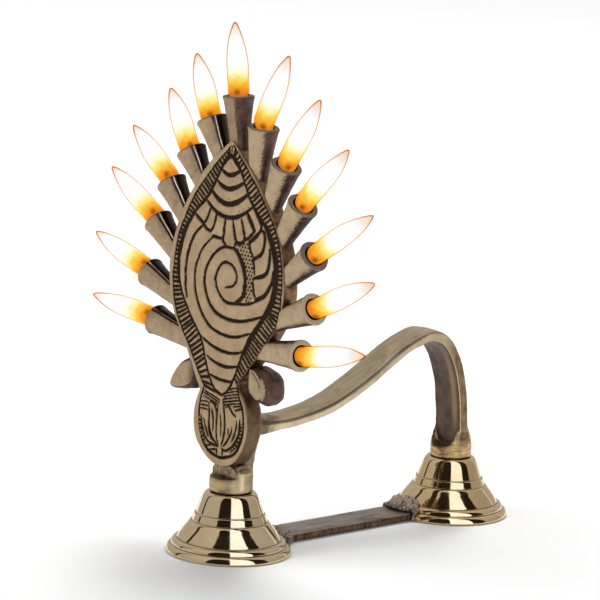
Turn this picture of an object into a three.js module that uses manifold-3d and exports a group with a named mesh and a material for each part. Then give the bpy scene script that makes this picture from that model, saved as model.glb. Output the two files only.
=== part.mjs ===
// A brass aarti lamp: an upright engraved plate with thirteen wick sockets round its edge, carried by a
// front foot, with a strap handle that arches back to a rear foot and a flat bar between the two feet.
// Millimetres, +Z up. The origin is on the floor midway between the feet, and the plate faces -Y.

import * as THREE from 'three';
import { mergeVertices } from 'three/addons/utils/BufferGeometryUtils.js';
import Module from 'manifold-3d';

const wasm = await Module();
wasm.setup();

// Driving dimensions

const gap = 0.3; // clearance between pieces that seat on each other
const footSpacing = 122.4;

const footRadius = 25;
const footHeight = 24.3;
const footWall = 2.4;
const footRimWidth = 3.4;
const footTopThickness = 3;

const screwRadius = 2;
const screwHeadRadius = 3.6;
const screwHeadHeight = 2.4;
const screwReach = 4.2; // how far the screw goes up into its collar
const washerRadius = 6;
const washerThickness = 1;

const collarRadius = 8.9;
const frontCollarHeight = 10;
const rearCollarHeight = 4.6;
const collarShoulder = 14; // height over which the rear collar runs out into the strap
const scoopFloor = 6.6; // height on the front collar where its front is cut back
const scoopDepth = 4.3; // how much of the front collar's radius stays in front of its axis

const neckHalfWidth = 6.2;
const neckThickness = 4.4; // of the neck's upper part, behind the plate

const plateThickness = 8;
const plateSetback = 7.1; // from the front foot's axis forward to the plate's face
const plateLift = 1; // of the plate's lowest point above the front collar
const plateBevel = 0.5;
const ovalHalfWidth = 16.2;
const ovalHeight = 31;
const plateHalfWidth = 34;
const bladeHeight = 97;

const rimWidth = 3.4;
const bandWidth = 3.6;
const grooveDepth = 0.6;
const grooveWidth = 1.2;
const coilPitch = 6.3;

const socketRootRadius = 3.5;
const socketMouthRadius = 6.3;
const socketBoreRadius = 4.1;
const socketBoreDepth = 10;
const socketLean = 2.7; // degrees that the sockets lean forward of the plate
const wickRadius = 2.3;
const flameRadius = 4.4;
const flameBaseRadius = 3.7;

const lugLength = 15.5;
const lugRadius = 5.8;
const lugRootRadius = 4.6;

const handleWidth = 15;
const handleThickness = 5.4;
const handleRootThickness = 9.5;
const handleRootLength = 22; // over which the strap thins out behind the plate
const handleTopHeight = 78.4; // of the strap's middle, at the top of the arch

const barWidth = 16;
const barThickness = 3.3;
const barOffset = -4; // sideways from the line between the feet
const brazeSizes = { front: [11.5, 8, 6.5], rear: [11, 7, 10] }; // half-widths and height of each lump
const brazeReach = { front: 1, rear: -3 }; // from the foot's edge in to the lump's middle

const collarBottom = footHeight + gap;
const plateBottom = collarBottom + frontCollarHeight + plateLift;
const footYs = { front: -footSpacing / 2, rear: footSpacing / 2 };

// The plate's two edges, from the bottom of the oval to the pinch as shares of the oval's half-width and
// height, and then from the pinch to the tip as shares of the blade's. The casting is fuller on its left.
const edgeShares = {
  right: {
    oval: [[0, 0], [0.49, 0.077], [0.74, 0.18], [0.9, 0.35], [0.99, 0.53], [0.97, 0.68], [0.87, 0.86],
      [0.52, 1.087]],
    blade: [[0.47, 0.118], [0.794, 0.262], [0.953, 0.376], [0.976, 0.458], [0.912, 0.587], [0.732, 0.722],
      [0.397, 0.881], [0, 1]],
  },
  left: {
    oval: [[0, 0], [-0.55, 0.1], [-0.82, 0.213], [-0.97, 0.355], [-1.01, 0.545], [-0.957, 0.735],
      [-0.827, 0.903]],
    blade: [[-0.72, 0.159], [-0.94, 0.283], [-1.018, 0.427], [-0.985, 0.53], [-0.841, 0.67], [-0.58, 0.817],
      [-0.3, 0.924], [0, 1]],
  },
};

// Sockets from the lowest up: where the axis meets the edge as a share of the blade's height, its angle
// from upright and its length, then the flame's own angle and length. They were set by hand, so no two
// are quite alike.
const socketRows = {
  left: [
    { share: 0.162, angle: 78, length: 20.6, flameAngle: 84, flameLength: 36 },
    { share: 0.32, angle: 66, length: 18.3, flameAngle: 71, flameLength: 32.5 },
    { share: 0.5, angle: 47, length: 16.3, flameAngle: 58, flameLength: 31 },
    { share: 0.652, angle: 37, length: 15.8, flameAngle: 50, flameLength: 28 },
    { share: 0.813, angle: 33, length: 13.6, flameAngle: 27, flameLength: 24 },
    { share: 0.929, angle: 25, length: 15, flameAngle: 19, flameLength: 24 },
  ],
  right: [
    { share: 0.184, angle: 85, length: 21, flameAngle: 80, flameLength: 35 },
    { share: 0.334, angle: 69, length: 18.6, flameAngle: 66, flameLength: 35 },
    { share: 0.5, angle: 54, length: 17.3, flameAngle: 59, flameLength: 36 },
    { share: 0.65, angle: 37.5, length: 17.4, flameAngle: 47, flameLength: 33 },
    { share: 0.78, angle: 26, length: 17.1, flameAngle: 35.5, flameLength: 31 },
    { share: 0.891, angle: 8.5, length: 17.6, flameAngle: 28, flameLength: 30 },
  ],
};
const topSocket = { angle: -2, length: 17.5, flameAngle: -4.5, flameLength: 26 };
const lugRows = { left: { share: 0.052, angle: 121 }, right: { share: 0.085, angle: 122 } };

// The bell foot's stepped outside, from the floor up, as shares of its radius and height.
const bellSteps = [
  [0.976, 0], [1, 0.03], [1, 0.08], [0.94, 0.125], [0.915, 0.13], [0.915, 0.142], [0.85, 0.212],
  [0.825, 0.218], [0.825, 0.23], [0.745, 0.31], [0.68, 0.405], [0.615, 0.515], [0.595, 0.522], [0.6, 0.532],
  [0.555, 0.645], [0.535, 0.652], [0.54, 0.664], [0.5, 0.82], [0.46, 0.95], [0.43, 0.99], [0.4, 1],
];

// The middle of the strap handle, as shares of the foot spacing and of the arch's height. It leaves the
// neck level, climbs over the hand gap and comes down into the rear collar.
const handleRoute = [
  [0, 0.655], [0.07, 0.652], [0.147, 0.648], [0.261, 0.662], [0.392, 0.706], [0.539, 0.806], [0.686, 0.936],
  [0.768, 0.985], [0.833, 1], [0.89, 0.967], [0.94, 0.877], [0.975, 0.742], [0.993, 0.588], [1, 0.435],
];

// Helpers that join and cut closed meshes

function solidOf(geometry, matrix = new THREE.Matrix4()) {
  const plain = geometry.clone().applyMatrix4(matrix);
  plain.deleteAttribute('normal');
  plain.deleteAttribute('uv');
  const merged = mergeVertices(plain, 1e-4);
  const corners = merged.index.array;
  const triVerts = [];
  for (let i = 0; i < corners.length; i += 3) {
    const [a, b, c] = corners.slice(i, i + 3);
    if (a !== b && b !== c && c !== a) triVerts.push(a, b, c);
  }
  return new wasm.Manifold(new wasm.Mesh({
    numProp: 3,
    vertProperties: merged.attributes.position.array,
    triVerts: new Uint32Array(triVerts),
  }));
}

function geometryOf(solid) {
  const mesh = solid.getMesh();
  const geometry = new THREE.BufferGeometry();
  geometry.setAttribute('position', new THREE.BufferAttribute(mesh.vertProperties, 3));
  geometry.setIndex(new THREE.BufferAttribute(mesh.triVerts, 1));
  geometry.computeVertexNormals();
  return geometry;
}

function cut(solid, ...cutters) {
  return cutters.reduce((rest, cutter) => rest.subtract(cutter), solid);
}

function move(x, y, z) {
  return new THREE.Matrix4().makeTranslation(x, y, z);
}

function lathe(points, segments) {
  return new THREE.LatheGeometry(points.map(([r, h]) => new THREE.Vector2(r, h)), segments);
}

// Lathe geometry turns about Y; this stands it up on Z.
const upright = new THREE.Matrix4().makeRotationX(Math.PI / 2);

function box(low, high) {
  const size = high.map((value, i) => value - low[i]);
  const middle = high.map((value, i) => (value + low[i]) / 2);
  return solidOf(new THREE.BoxGeometry(...size), move(...middle));
}

function prism(points, from, to) {
  const settings = { depth: to - from, bevelEnabled: false };
  return solidOf(new THREE.ExtrudeGeometry(new THREE.Shape(points), settings), move(0, 0, from));
}

function brass(color, roughness) {
  return new THREE.MeshStandardMaterial({ color, roughness, metalness: 1 });
}

function addMesh(parent, name, geometry, material) {
  const mesh = new THREE.Mesh(geometry, material);
  mesh.name = name;
  parent.add(mesh);
}

// The plate's outline, in the plate's own frame: x to the right, y up from the bottom of the oval

function bladePoint(x, h) {
  return new THREE.Vector2(x * plateHalfWidth, ovalHeight + h * bladeHeight);
}

function edgeCurves({ oval, blade }) {
  const ovalPoints = oval.map(([x, h]) => new THREE.Vector2(x * ovalHalfWidth, h * ovalHeight));
  const bladePoints = blade.map(([x, h]) => bladePoint(x, h));
  return {
    oval: new THREE.SplineCurve(ovalPoints),
    blade: new THREE.SplineCurve([ovalPoints.at(-1), ...bladePoints]),
  };
}

const edges = { right: edgeCurves(edgeShares.right), left: edgeCurves(edgeShares.left) };

function plateOutline() {
  const ovalSteps = 12;
  const bladeSteps = 22;
  const side = ({ oval, blade }) => [
    ...oval.getSpacedPoints(ovalSteps).slice(0, -1),
    ...blade.getSpacedPoints(bladeSteps).slice(0, -1),
  ];
  const tip = edges.right.blade.getPoint(1);
  return [...side(edges.right), tip, ...side(edges.left).reverse().slice(0, -1)];
}

function offsetOutline(points, distance) {
  return points.map((point, i) => {
    const into = point.clone().sub(points.at(i - 1)).normalize();
    const outOf = points[(i + 1) % points.length].clone().sub(point).normalize();
    const across = into.add(outOf).normalize();
    return new THREE.Vector2(point.x + across.y * distance, point.y - across.x * distance);
  });
}

// A point on an edge of the blade at a share of the blade's height
function edgePointAt(blade, share) {
  const height = ovalHeight + share * bladeHeight;
  return blade.getSpacedPoints(120).reduce((best, point) =>
    (Math.abs(point.y - height) < Math.abs(best.y - height) ? point : best));
}

// The engraving: each groove is a ribbon along a curve on the plate's face

function ribbon(curve, steps) {
  const near = [];
  const far = [];
  for (let i = 0; i <= steps; i += 1) {
    const point = curve.getPoint(i / steps);
    const tangent = curve.getTangent(i / steps);
    const side = new THREE.Vector2(tangent.y, -tangent.x).multiplyScalar(grooveWidth / 2);
    near.push(point.clone().add(side));
    far.unshift(point.clone().sub(side));
  }
  return prism([...near, ...far], plateThickness - grooveDepth, plateThickness + 1);
}

function bow(halfWidth, height, sag) {
  const left = bladePoint(-halfWidth, height);
  const right = bladePoint(halfWidth, height);
  return new THREE.QuadraticBezierCurve(left, bladePoint(0, height - 2 * sag), right);
}

// The conch's coil: arcs about one centre that open out as they run round its left and under it
function coilArcs() {
  const centre = bladePoint(0, 0.44);
  const start = 60;
  return [1, 2, 3].map((turn) => {
    const points = [];
    for (let degrees = start; degrees <= 315; degrees += 15) {
      const radius = coilPitch * turn + (degrees - start) / 150;
      const angle = THREE.MathUtils.degToRad(degrees);
      points.push(new THREE.Vector2(Math.cos(angle), Math.sin(angle)).multiplyScalar(radius).add(centre));
    }
    return new THREE.SplineCurve(points);
  });
}

function lotusPetals() {
  const root = new THREE.Vector2(0, ovalHeight * 0.22);
  return [-0.6, -0.3, 0, 0.3, 0.6].map((spread) => {
    const tip = new THREE.Vector2(spread * ovalHalfWidth, ovalHeight * (0.78 - 0.25 * Math.abs(spread)));
    const belly = new THREE.Vector2(spread * 1.5 * ovalHalfWidth, ovalHeight * 0.4);
    return new THREE.QuadraticBezierCurve(root, belly, tip);
  });
}

// A leaf shape that follows the blade's edges at an inset, for the border's channel
function leaf(inset) {
  const middle = ovalHeight + bladeHeight / 2;
  const across = 1 - inset / plateHalfWidth;
  const along = 1 - (1.9 * inset) / bladeHeight;
  const steps = 18;
  const side = ({ blade }) => blade.getSpacedPoints(steps).slice(1);
  const rim = [...side(edges.right), ...side(edges.left).reverse().slice(1)];
  const loop = rim.map((point) => new THREE.Vector2(point.x * across, middle + (point.y - middle) * along));
  return [new THREE.Vector2(0, loop[0].y - 4), ...loop];
}

function ovalRing(inset) {
  const centre = ovalHeight * 0.5;
  const points = [];
  for (let degrees = 0; degrees < 360; degrees += 15) {
    const angle = THREE.MathUtils.degToRad(degrees);
    const x = Math.cos(angle) * (ovalHalfWidth - inset);
    points.push(new THREE.Vector2(x, centre + Math.sin(angle) * (centre - inset)));
  }
  return points;
}

function engraving() {
  const from = plateThickness - grooveDepth;
  const to = plateThickness + 1;
  const border = prism(leaf(rimWidth), from, to).subtract(prism(leaf(rimWidth + bandWidth), from, to));
  const ringInside = prism(ovalRing(rimWidth + grooveWidth), from, to);
  const ring = prism(ovalRing(rimWidth), from, to).subtract(ringInside);
  const scallops = [[0.16, 0.88, 0.03], [0.22, 0.83, 0.035], [0.32, 0.79, 0.05], [0.38, 0.74, 0.055]];
  const keelBows = [[0.36, 0.19, 0.025], [0.26, 0.11, 0.02], [0.18, 0.04, 0.012]];
  const bows = [...scallops, ...keelBows].map(([width, height, sag]) => ribbon(bow(width, height, sag), 6));
  const coils = coilArcs().map((curve) => ribbon(curve, 18));
  const petals = lotusPetals().map((curve) => ribbon(curve, 5));
  return [border, ring, ...bows, ...coils, ...petals];
}

function plateGeometry(outline) {
  const inset = offsetOutline(outline, -plateBevel);
  const settings = {
    depth: plateThickness - 2 * plateBevel,
    bevelThickness: plateBevel,
    bevelSize: plateBevel,
    bevelSegments: 1,
  };
  const body = solidOf(new THREE.ExtrudeGeometry(new THREE.Shape(inset), settings), move(0, 0, plateBevel));
  return geometryOf(cut(body, ...engraving()));
}

// Wick sockets, wicks and flames, each in a frame on the plate's edge with y out along the socket

function edgeFrame(root, rootRadius, angle, lean) {
  const frame = new THREE.Group();
  frame.position.set(root.x, root.y, plateThickness - rootRadius);
  frame.rotation.z = -THREE.MathUtils.degToRad(angle);
  const leaning = new THREE.Group();
  leaning.rotation.x = THREE.MathUtils.degToRad(lean);
  frame.add(leaning);
  frame.updateMatrixWorld(true);
  return { frame, leaning };
}

function socketGeometry(length, matrix, plateKeepout) {
  const sink = plateThickness; // how far the tube starts inside the edge, before it is cut to it
  const boreFloor = length - socketBoreDepth;
  const tube = solidOf(lathe([
    [0, -sink], [socketRootRadius, -sink], [socketRootRadius, 0], [socketMouthRadius - 0.4, length - 2],
    [socketMouthRadius, length - 0.6], [socketMouthRadius - 0.3, length], [socketBoreRadius, length],
    [socketBoreRadius, boreFloor + 1], [socketBoreRadius - 1, boreFloor], [0, boreFloor],
  ], 18));
  return geometryOf(tube.subtract(solidOf(plateKeepout, matrix.clone().invert())));
}

function flameGeometry(length) {
  const base = flameBaseRadius;
  return lathe([
    [0, -base], [base * 0.72, -base * 0.7], [base, 0], [flameRadius * 0.95, length * 0.2],
    [flameRadius, length * 0.36], [flameRadius * 0.9, length * 0.56], [flameRadius * 0.68, length * 0.75],
    [flameRadius * 0.4, length * 0.9], [flameRadius * 0.2, length * 0.97], [0, length],
  ], 10);
}

function wickGeometry(bottom, top) {
  const wick = new THREE.CylinderGeometry(wickRadius * 0.85, wickRadius, top - bottom, 8);
  return wick.translate(0, (bottom + top) / 2, 0);
}

function addSocket(plate, place, root, row, sign, plateKeepout) {
  const { length, flameLength } = row;
  const { frame, leaning } = edgeFrame(root, socketRootRadius, sign * row.angle, socketLean);
  const tube = socketGeometry(length, leaning.matrixWorld, plateKeepout);
  addMesh(leaning, `socket_${place}`, tube, brass(0x8a744c, 0.4));

  const rise = flameBaseRadius * 0.7; // of the middle of the flame's round base above the mouth
  const wick = wickGeometry(length - socketBoreDepth + gap, length + rise - flameBaseRadius - gap);
  const cotton = new THREE.MeshStandardMaterial({ color: 0xd8cdb4, roughness: 0.95 });
  addMesh(leaning, `wick_${place}`, wick, cotton);

  const flameFrame = new THREE.Group();
  flameFrame.position.set(0, length + rise, 0);
  flameFrame.rotation.z = -THREE.MathUtils.degToRad(sign * (row.flameAngle - row.angle));
  const glow = new THREE.MeshStandardMaterial({ color: 0xffe08a, emissive: 0xffb347, roughness: 1 });
  addMesh(flameFrame, `flame_${place}`, flameGeometry(flameLength), glow);
  leaning.add(flameFrame);
  plate.add(frame);
}

function addSockets(plate, plateKeepout) {
  for (const [side, sign] of [['left', -1], ['right', 1]]) {
    socketRows[side].forEach((row, i) => {
      const root = edgePointAt(edges[side].blade, row.share);
      addSocket(plate, `${side}_${i + 1}`, root, row, sign, plateKeepout);
    });
  }
  addSocket(plate, 'top', edges.right.blade.getPoint(1), topSocket, 1, plateKeepout);
}

// Bud lugs: blunt studs that point out and down under the lowest sockets

function budGeometry(matrix, plateKeepout) {
  const sink = plateThickness;
  const bud = solidOf(lathe([
    [0, -sink], [lugRootRadius, -sink], [lugRootRadius, 1], [lugRadius, lugLength * 0.55],
    [lugRadius, lugLength * 0.75], [lugRadius * 0.8, lugLength * 0.93], [lugRadius * 0.4, lugLength],
    [0, lugLength],
  ], 16));
  return geometryOf(bud.subtract(solidOf(plateKeepout, matrix.clone().invert())));
}

function addLugs(plate, plateKeepout) {
  for (const [side, sign] of [['left', -1], ['right', 1]]) {
    const { share, angle } = lugRows[side];
    const root = edgePointAt(edges[side].blade, share);
    const { frame, leaning } = edgeFrame(root, lugRootRadius, sign * angle, 0);
    const bud = budGeometry(leaning.matrixWorld, plateKeepout);
    addMesh(leaning, `bud_lug_${side}`, bud, brass(0x7d6846, 0.45));
    plate.add(frame);
  }
}

function addPlate(lamp) {
  const plate = new THREE.Group();
  plate.position.set(0, footYs.front - plateSetback + plateThickness, plateBottom);
  plate.rotation.x = Math.PI / 2;
  const outline = plateOutline();
  addMesh(plate, 'front_plate', plateGeometry(outline), brass(0x9b8660, 0.35));

  const keepoutDepth = 40;
  const plateKeepout = new THREE.ExtrudeGeometry(
    new THREE.Shape(offsetOutline(outline, gap)),
    { depth: keepoutDepth, bevelEnabled: false },
  ).translate(0, 0, (plateThickness - keepoutDepth) / 2);
  addSockets(plate, plateKeepout);
  addLugs(plate, plateKeepout);
  lamp.add(plate);
}

// Feet, with the screw and washer that hold each one up against its collar

function bellGeometry() {
  const outside = bellSteps.map(([r, h]) => [r * footRadius, h * footHeight]);
  const ceiling = footHeight - footTopThickness;
  const hollow = [[0.5, 1], [0.56, 0.75], [0.62, 0.55], [0.7, 0.4], [0.85, 0.22]];
  const inside = hollow.map(([r, h]) => [r * footRadius - footWall, h * ceiling]);
  const mouth = [bellSteps[0][0] * footRadius - footRimWidth, 0];
  const hole = screwRadius + gap;
  return lathe([...outside, [hole, footHeight], [hole, ceiling], ...inside, mouth, outside[0]], 32);
}

function addFoot(lamp, end) {
  const ceiling = footHeight - footTopThickness;
  const washerTop = ceiling - gap;
  const washerBottom = washerTop - washerThickness;
  const headTop = washerBottom - gap;
  const headBottom = headTop - screwHeadHeight;
  const hole = screwRadius + gap;
  const screwTop = collarBottom + screwReach - gap;
  const foot = new THREE.Group();
  foot.position.y = footYs[end];
  addMesh(foot, `${end}_foot`, bellGeometry().applyMatrix4(upright), brass(0xb59a5e, 0.12));

  const washer = lathe([
    [hole, washerBottom], [washerRadius, washerBottom], [washerRadius, washerTop], [hole, washerTop],
    [hole, washerBottom],
  ], 20);
  addMesh(foot, `${end}_washer`, washer.applyMatrix4(upright), brass(0x9a8350, 0.4));

  const screw = lathe([
    [0, headBottom], [screwHeadRadius * 0.8, headBottom], [screwHeadRadius, headBottom + 0.8],
    [screwHeadRadius, headTop], [screwRadius, headTop], [screwRadius, screwTop - 1],
    [screwRadius - 0.7, screwTop], [0, screwTop],
  ], 16);
  addMesh(foot, `${end}_screw`, screw.applyMatrix4(upright), brass(0x9a8350, 0.4));
  lamp.add(foot);
}

// The screw hole in a collar's underside, blind, with clearance round the screw
function screwHole() {
  const hole = screwRadius + gap;
  return solidOf(lathe([[0, -1], [hole, -1], [hole, screwReach], [0, screwReach]], 16), upright);
}

// The stem: the front collar, cut back under the plate, and the neck that carries the plate and handle

function neckTopHeight() {
  return handleRoute[0][1] * handleTopHeight + handleRootThickness / 2 + 1;
}

function neckBack() {
  return plateThickness - plateSetback + gap + neckThickness;
}

function addStem(lamp) {
  const shelf = plateBottom - gap - collarBottom;
  const plateBack = plateThickness - plateSetback;
  const collar = solidOf(lathe([
    [0, 0], [collarRadius - 0.4, 0], [collarRadius, 0.4], [collarRadius, frontCollarHeight - 1.2],
    [collarRadius - 1.4, frontCollarHeight], [0, frontCollarHeight],
  ], 28), upright);
  const clear = collarRadius + 1;
  const scoop = box([-clear, -clear, scoopFloor], [clear, -scoopDepth, frontCollarHeight + 1]);
  const neck = box([-neckHalfWidth, -scoopDepth, scoopFloor - 1], [neckHalfWidth, neckBack(), shelf]);
  const back = box(
    [-neckHalfWidth, plateBack + gap, scoopFloor],
    [neckHalfWidth, neckBack(), neckTopHeight() - collarBottom],
  );
  const stem = cut(collar, scoop).add(neck).add(back).subtract(screwHole());
  const mesh = new THREE.Mesh(geometryOf(stem), brass(0x84704a, 0.5));
  mesh.name = 'front_stem';
  mesh.position.set(0, footYs.front, collarBottom);
  lamp.add(mesh);
}

// The strap handle: a crowned section swept along its route, run into the round rear collar

function strapCurve() {
  const points = handleRoute.map(([y, z]) => new THREE.Vector3(0, y * footSpacing, z * handleTopHeight));
  points.push(new THREE.Vector3(0, footSpacing, collarBottom + 1));
  return new THREE.CatmullRomCurve3(points, false, 'centripetal');
}

function strapSection() {
  const half = handleWidth / 2;
  const crease = 0.18; // height of the side walls' top above the middle of the section
  const section = new THREE.Shape();
  section.moveTo(-half + 0.8, -0.5);
  section.lineTo(half - 0.8, -0.5);
  section.lineTo(half, -0.36);
  section.lineTo(half, crease);
  section.quadraticCurveTo(0, 0.82, -half, crease);
  section.lineTo(-half, -0.36);
  return section;
}

function strapGeometry() {
  const steps = 44;
  const curve = strapCurve();
  const length = curve.getLength();
  const settings = { depth: 1, steps, curveSegments: 6, bevelEnabled: false };
  const strap = new THREE.ExtrudeGeometry(strapSection(), settings);
  const position = strap.attributes.position;
  for (let i = 0; i < position.count; i += 1) {
    const along = Math.round(position.getZ(i) * steps) / steps;
    const point = curve.getPointAt(along);
    const tangent = curve.getTangentAt(along);
    const thinning = THREE.MathUtils.smoothstep(along * length, 0, handleRootLength);
    const lift = position.getY(i) * THREE.MathUtils.lerp(handleRootThickness, handleThickness, thinning);
    position.setXYZ(i, -position.getX(i), point.y - tangent.z * lift, point.z + tangent.y * lift);
  }
  return strap;
}

// The round rear collar, with an arched recess up its inner side where it runs out into the strap
function rearCollar() {
  const top = rearCollarHeight + collarShoulder;
  const collar = solidOf(lathe([
    [0, 0], [collarRadius - 0.4, 0], [collarRadius, 0.4], [collarRadius, rearCollarHeight],
    [collarRadius - 0.5, rearCollarHeight + collarShoulder * 0.3],
    [collarRadius - 1.3, rearCollarHeight + collarShoulder * 0.65],
    [collarRadius - 3, rearCollarHeight + collarShoulder * 0.95],
    [0, top],
  ], 28), upright);
  const halfRecess = collarRadius * 0.72;
  const recessBack = -handleThickness / 2;
  const recess = box([-halfRecess, -collarRadius - 1, rearCollarHeight], [halfRecess, recessBack, top + 1]);
  return cut(collar, recess);
}

function addHandle(lamp) {
  const atRear = move(0, footSpacing, collarBottom);
  const reach = handleWidth + handleTopHeight;
  const behindNeck = box([-reach, -reach, -reach], [reach, neckBack() + gap, reach]);
  const strap = cut(solidOf(strapGeometry()), behindNeck);
  const handle = strap.add(solidOf(geometryOf(rearCollar()), atRear));
  const mesh = new THREE.Mesh(
    geometryOf(cut(handle, solidOf(geometryOf(screwHole()), atRear))),
    brass(0x8f7c4e, 0.42),
  );
  mesh.name = 'handle';
  mesh.position.y = footYs.front;
  lamp.add(mesh);
}

// The base bar, with ends cut round to the feet, and the braze that joins it to them

function barShape() {
  const reach = footRadius + gap;
  const left = barOffset - barWidth / 2;
  const right = barOffset + barWidth / 2;
  const leftAngle = Math.acos(left / reach);
  const rightAngle = Math.acos(right / reach);
  const shape = new THREE.Shape();
  shape.absarc(0, footYs.front, reach, leftAngle, rightAngle, true);
  shape.absarc(0, footYs.rear, reach, -rightAngle, -leftAngle, true);
  return shape;
}

function addBar(lamp) {
  const settings = { depth: barThickness, curveSegments: 8, bevelEnabled: false };
  addMesh(lamp, 'base_bar', new THREE.ExtrudeGeometry(barShape(), settings), brass(0x6e6355, 0.55));
}

function footKeepout(end) {
  const skirt = bellSteps.map(([r, h]) => [r * footRadius + gap, h * footHeight]);
  const profile = [[0, -1], [skirt[0][0], -1], ...skirt, [0, footHeight + 1]];
  return solidOf(lathe(profile, 32), move(0, footYs[end], 0).multiply(upright));
}

function addBraze(lamp, end) {
  const inward = end === 'front' ? 1 : -1;
  const middle = move(barOffset, footYs[end] + inward * (footRadius + brazeReach[end]), 0);
  const size = new THREE.Vector3(...brazeSizes[end]);
  const lump = solidOf(new THREE.SphereGeometry(1, 18, 12), middle.scale(size));
  const halfBar = barWidth / 2 + gap;
  const barTop = barThickness + gap;
  const bar = box([barOffset - halfBar, footYs.front, -1], [barOffset + halfBar, footYs.rear, barTop]);
  const floor = box([-footSpacing, -footSpacing, -footSpacing], [footSpacing, footSpacing, gap]);
  addMesh(lamp, `${end}_braze`, geometryOf(cut(lump, footKeepout(end), bar, floor)), brass(0x5d5146, 0.7));
}

const lamp = new THREE.Group();
addPlate(lamp);
addStem(lamp);
addHandle(lamp);
addBar(lamp);
for (const end of ['front', 'rear']) {
  addFoot(lamp, end);
  addBraze(lamp, end);
}

export default lamp;
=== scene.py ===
"""The looks of a brass aarti lamp: an engraved upright plate with thirteen lit wick sockets, carried by a
bell foot, with a strap handle to a rear bell foot and a flat bar between the feet.

Shapes are made in millimetres in the part's own frame and turned to metres when their mesh is made.
"""

import math

import bmesh
import bpy
import numpy as np
from mathutils import Matrix, Vector
from mathutils.kdtree import KDTree


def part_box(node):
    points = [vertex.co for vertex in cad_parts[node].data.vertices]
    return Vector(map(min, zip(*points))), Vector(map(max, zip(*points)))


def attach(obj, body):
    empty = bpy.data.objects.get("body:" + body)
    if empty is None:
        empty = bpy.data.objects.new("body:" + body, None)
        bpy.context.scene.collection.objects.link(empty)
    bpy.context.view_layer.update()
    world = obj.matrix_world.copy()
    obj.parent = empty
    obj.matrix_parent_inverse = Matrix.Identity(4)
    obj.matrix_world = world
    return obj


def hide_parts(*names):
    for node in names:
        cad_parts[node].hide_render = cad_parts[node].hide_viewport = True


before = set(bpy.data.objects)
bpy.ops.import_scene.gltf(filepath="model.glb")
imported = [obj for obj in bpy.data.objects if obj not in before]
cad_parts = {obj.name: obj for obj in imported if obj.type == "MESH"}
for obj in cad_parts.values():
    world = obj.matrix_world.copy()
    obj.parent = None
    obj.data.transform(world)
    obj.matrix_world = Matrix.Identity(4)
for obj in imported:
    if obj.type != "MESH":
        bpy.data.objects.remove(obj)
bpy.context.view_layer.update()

MM = 0.001

# Driving dimensions, in millimetres

FOOT_SPACING = 122.4
FOOT_RADIUS = 25
FOOT_HEIGHT = 24.3
FOOT_WALL = 2.4
FOOT_RIM_WIDTH = 3.4
FOOT_TOP_THICKNESS = 3
FRONT_Y = -FOOT_SPACING / 2
REAR_Y = FOOT_SPACING / 2

PLATE_BEVEL = 0.5  # of the CAD plate's back edge
PLATE_ROUNDING = 0.45
PLATE_SIDE_ROUNDING = 0.95  # of the face's right edge
PLATE_BACK_ROUNDING = 0.7
PLATE_STEP = 0.27  # spacing of the plate's points along its edge
FACE_COLUMNS, WALL_COLUMNS, BACK_COLUMNS = 260, 9, 64  # how many points go across each side of the plate

STROKE_STEP = 0.25  # spacing of the points of an engraved line
STROKE_SHIFT = 0.1  # to the left, since only the left wall of a groove shows in the photograph
GROOVE_DEPTH = 0.6
SHALLOW_DEPTH = 0.5
RUNG_PITCH = 1.85
RUNG_GAP = 1.3
BOW_GAIN = 0.25  # added to the width of the bows, of the figure's lines and of the lotus's
FIGURE_GAIN = 0.35
LOTUS_GAIN = 0.2
BEAD_RADIUS = 0.42

SOCKET_BORE = 4.1
SOCKET_DEPTH = 10
SOCKET_MOUTH = 6.3
SOCKET_ROOT = 3.5
SOCKET_SEAT = 1.2  # how far a socket goes on into the plate's edge

WICK_RADIUS = 2.2
FLAME_BEND = 2.6  # above the mouth, where a flame leaves the bore's axis for its own
FLAME_SUNK = 3.5  # how far below that a flame begins
FLAME_SKIN = 0.45
CHAR_TURN = 0.82  # radians from the front, round the flame: where the charred wick shows through

HANDLE_WIDTH = 15
HANDLE_THICKNESS = 5.4
HANDLE_ROOT_THICKNESS = 9.5
HANDLE_ROOT_LENGTH = 22
HANDLE_TOP = 78.4
COLLAR_RADIUS = 8.9
COLLAR_BOTTOM = 24.6
REAR_COLLAR_HEIGHT = 21
SEAT = FOOT_HEIGHT + 0.02  # where the collars meet the feet
SCOOP_FLOOR = 6.2  # above the front collar's bottom
SCOOP_DEPTH = 4.3  # what the scoop leaves in front of the collar's axis
NECK_HALF_WIDTH = 7.6
NECK_BACK = 7.4

BAR_WIDTH = 16
BAR_THICKNESS = 3.3
BAR_OFFSET = -4
BRAZE_FLOOR = 0.05

FLOOR_REACH = 6  # metres
FLOOR_DROP = 0.0002  # metres

# The camera that the photograph was taken with

CAMERA_AZIMUTH = 47.2822
CAMERA_ELEVATION = 9.8519
CAMERA_ROLL = 2.6567
CAMERA_DISTANCE = 1216.056
CAMERA_TARGET = (16.12, -43.74, 101.85)
CAMERA_LENS = 187.07


# Numbers, curves and noise


def smoothstep(x, low, high):
    t = np.clip((x - low) / (high - low), 0, 1)
    return t * t * (3 - 2 * t)


def mix(a, b, t):
    return a + (b - a) * t


def hump(x, middle, width):
    """1 at the middle, falling off on both sides."""
    return np.exp(-(((x - middle) / width) ** 2))


def lattice(ix, iy, iz, seed):
    """A repeatable random number from -1 to 1 at each whole-number point."""
    h = (ix * 374761393 + iy * 668265263 + iz * 1440662683 + seed * 69069069) & 0xFFFFFFFF
    h = ((h ^ (h >> 13)) * 1274126177) & 0xFFFFFFFF
    h = ((h ^ (h >> 16)) * 2246822519) & 0xFFFFFFFF
    return ((h >> 8) & 0xFFFF) / 32767.5 - 1


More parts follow.
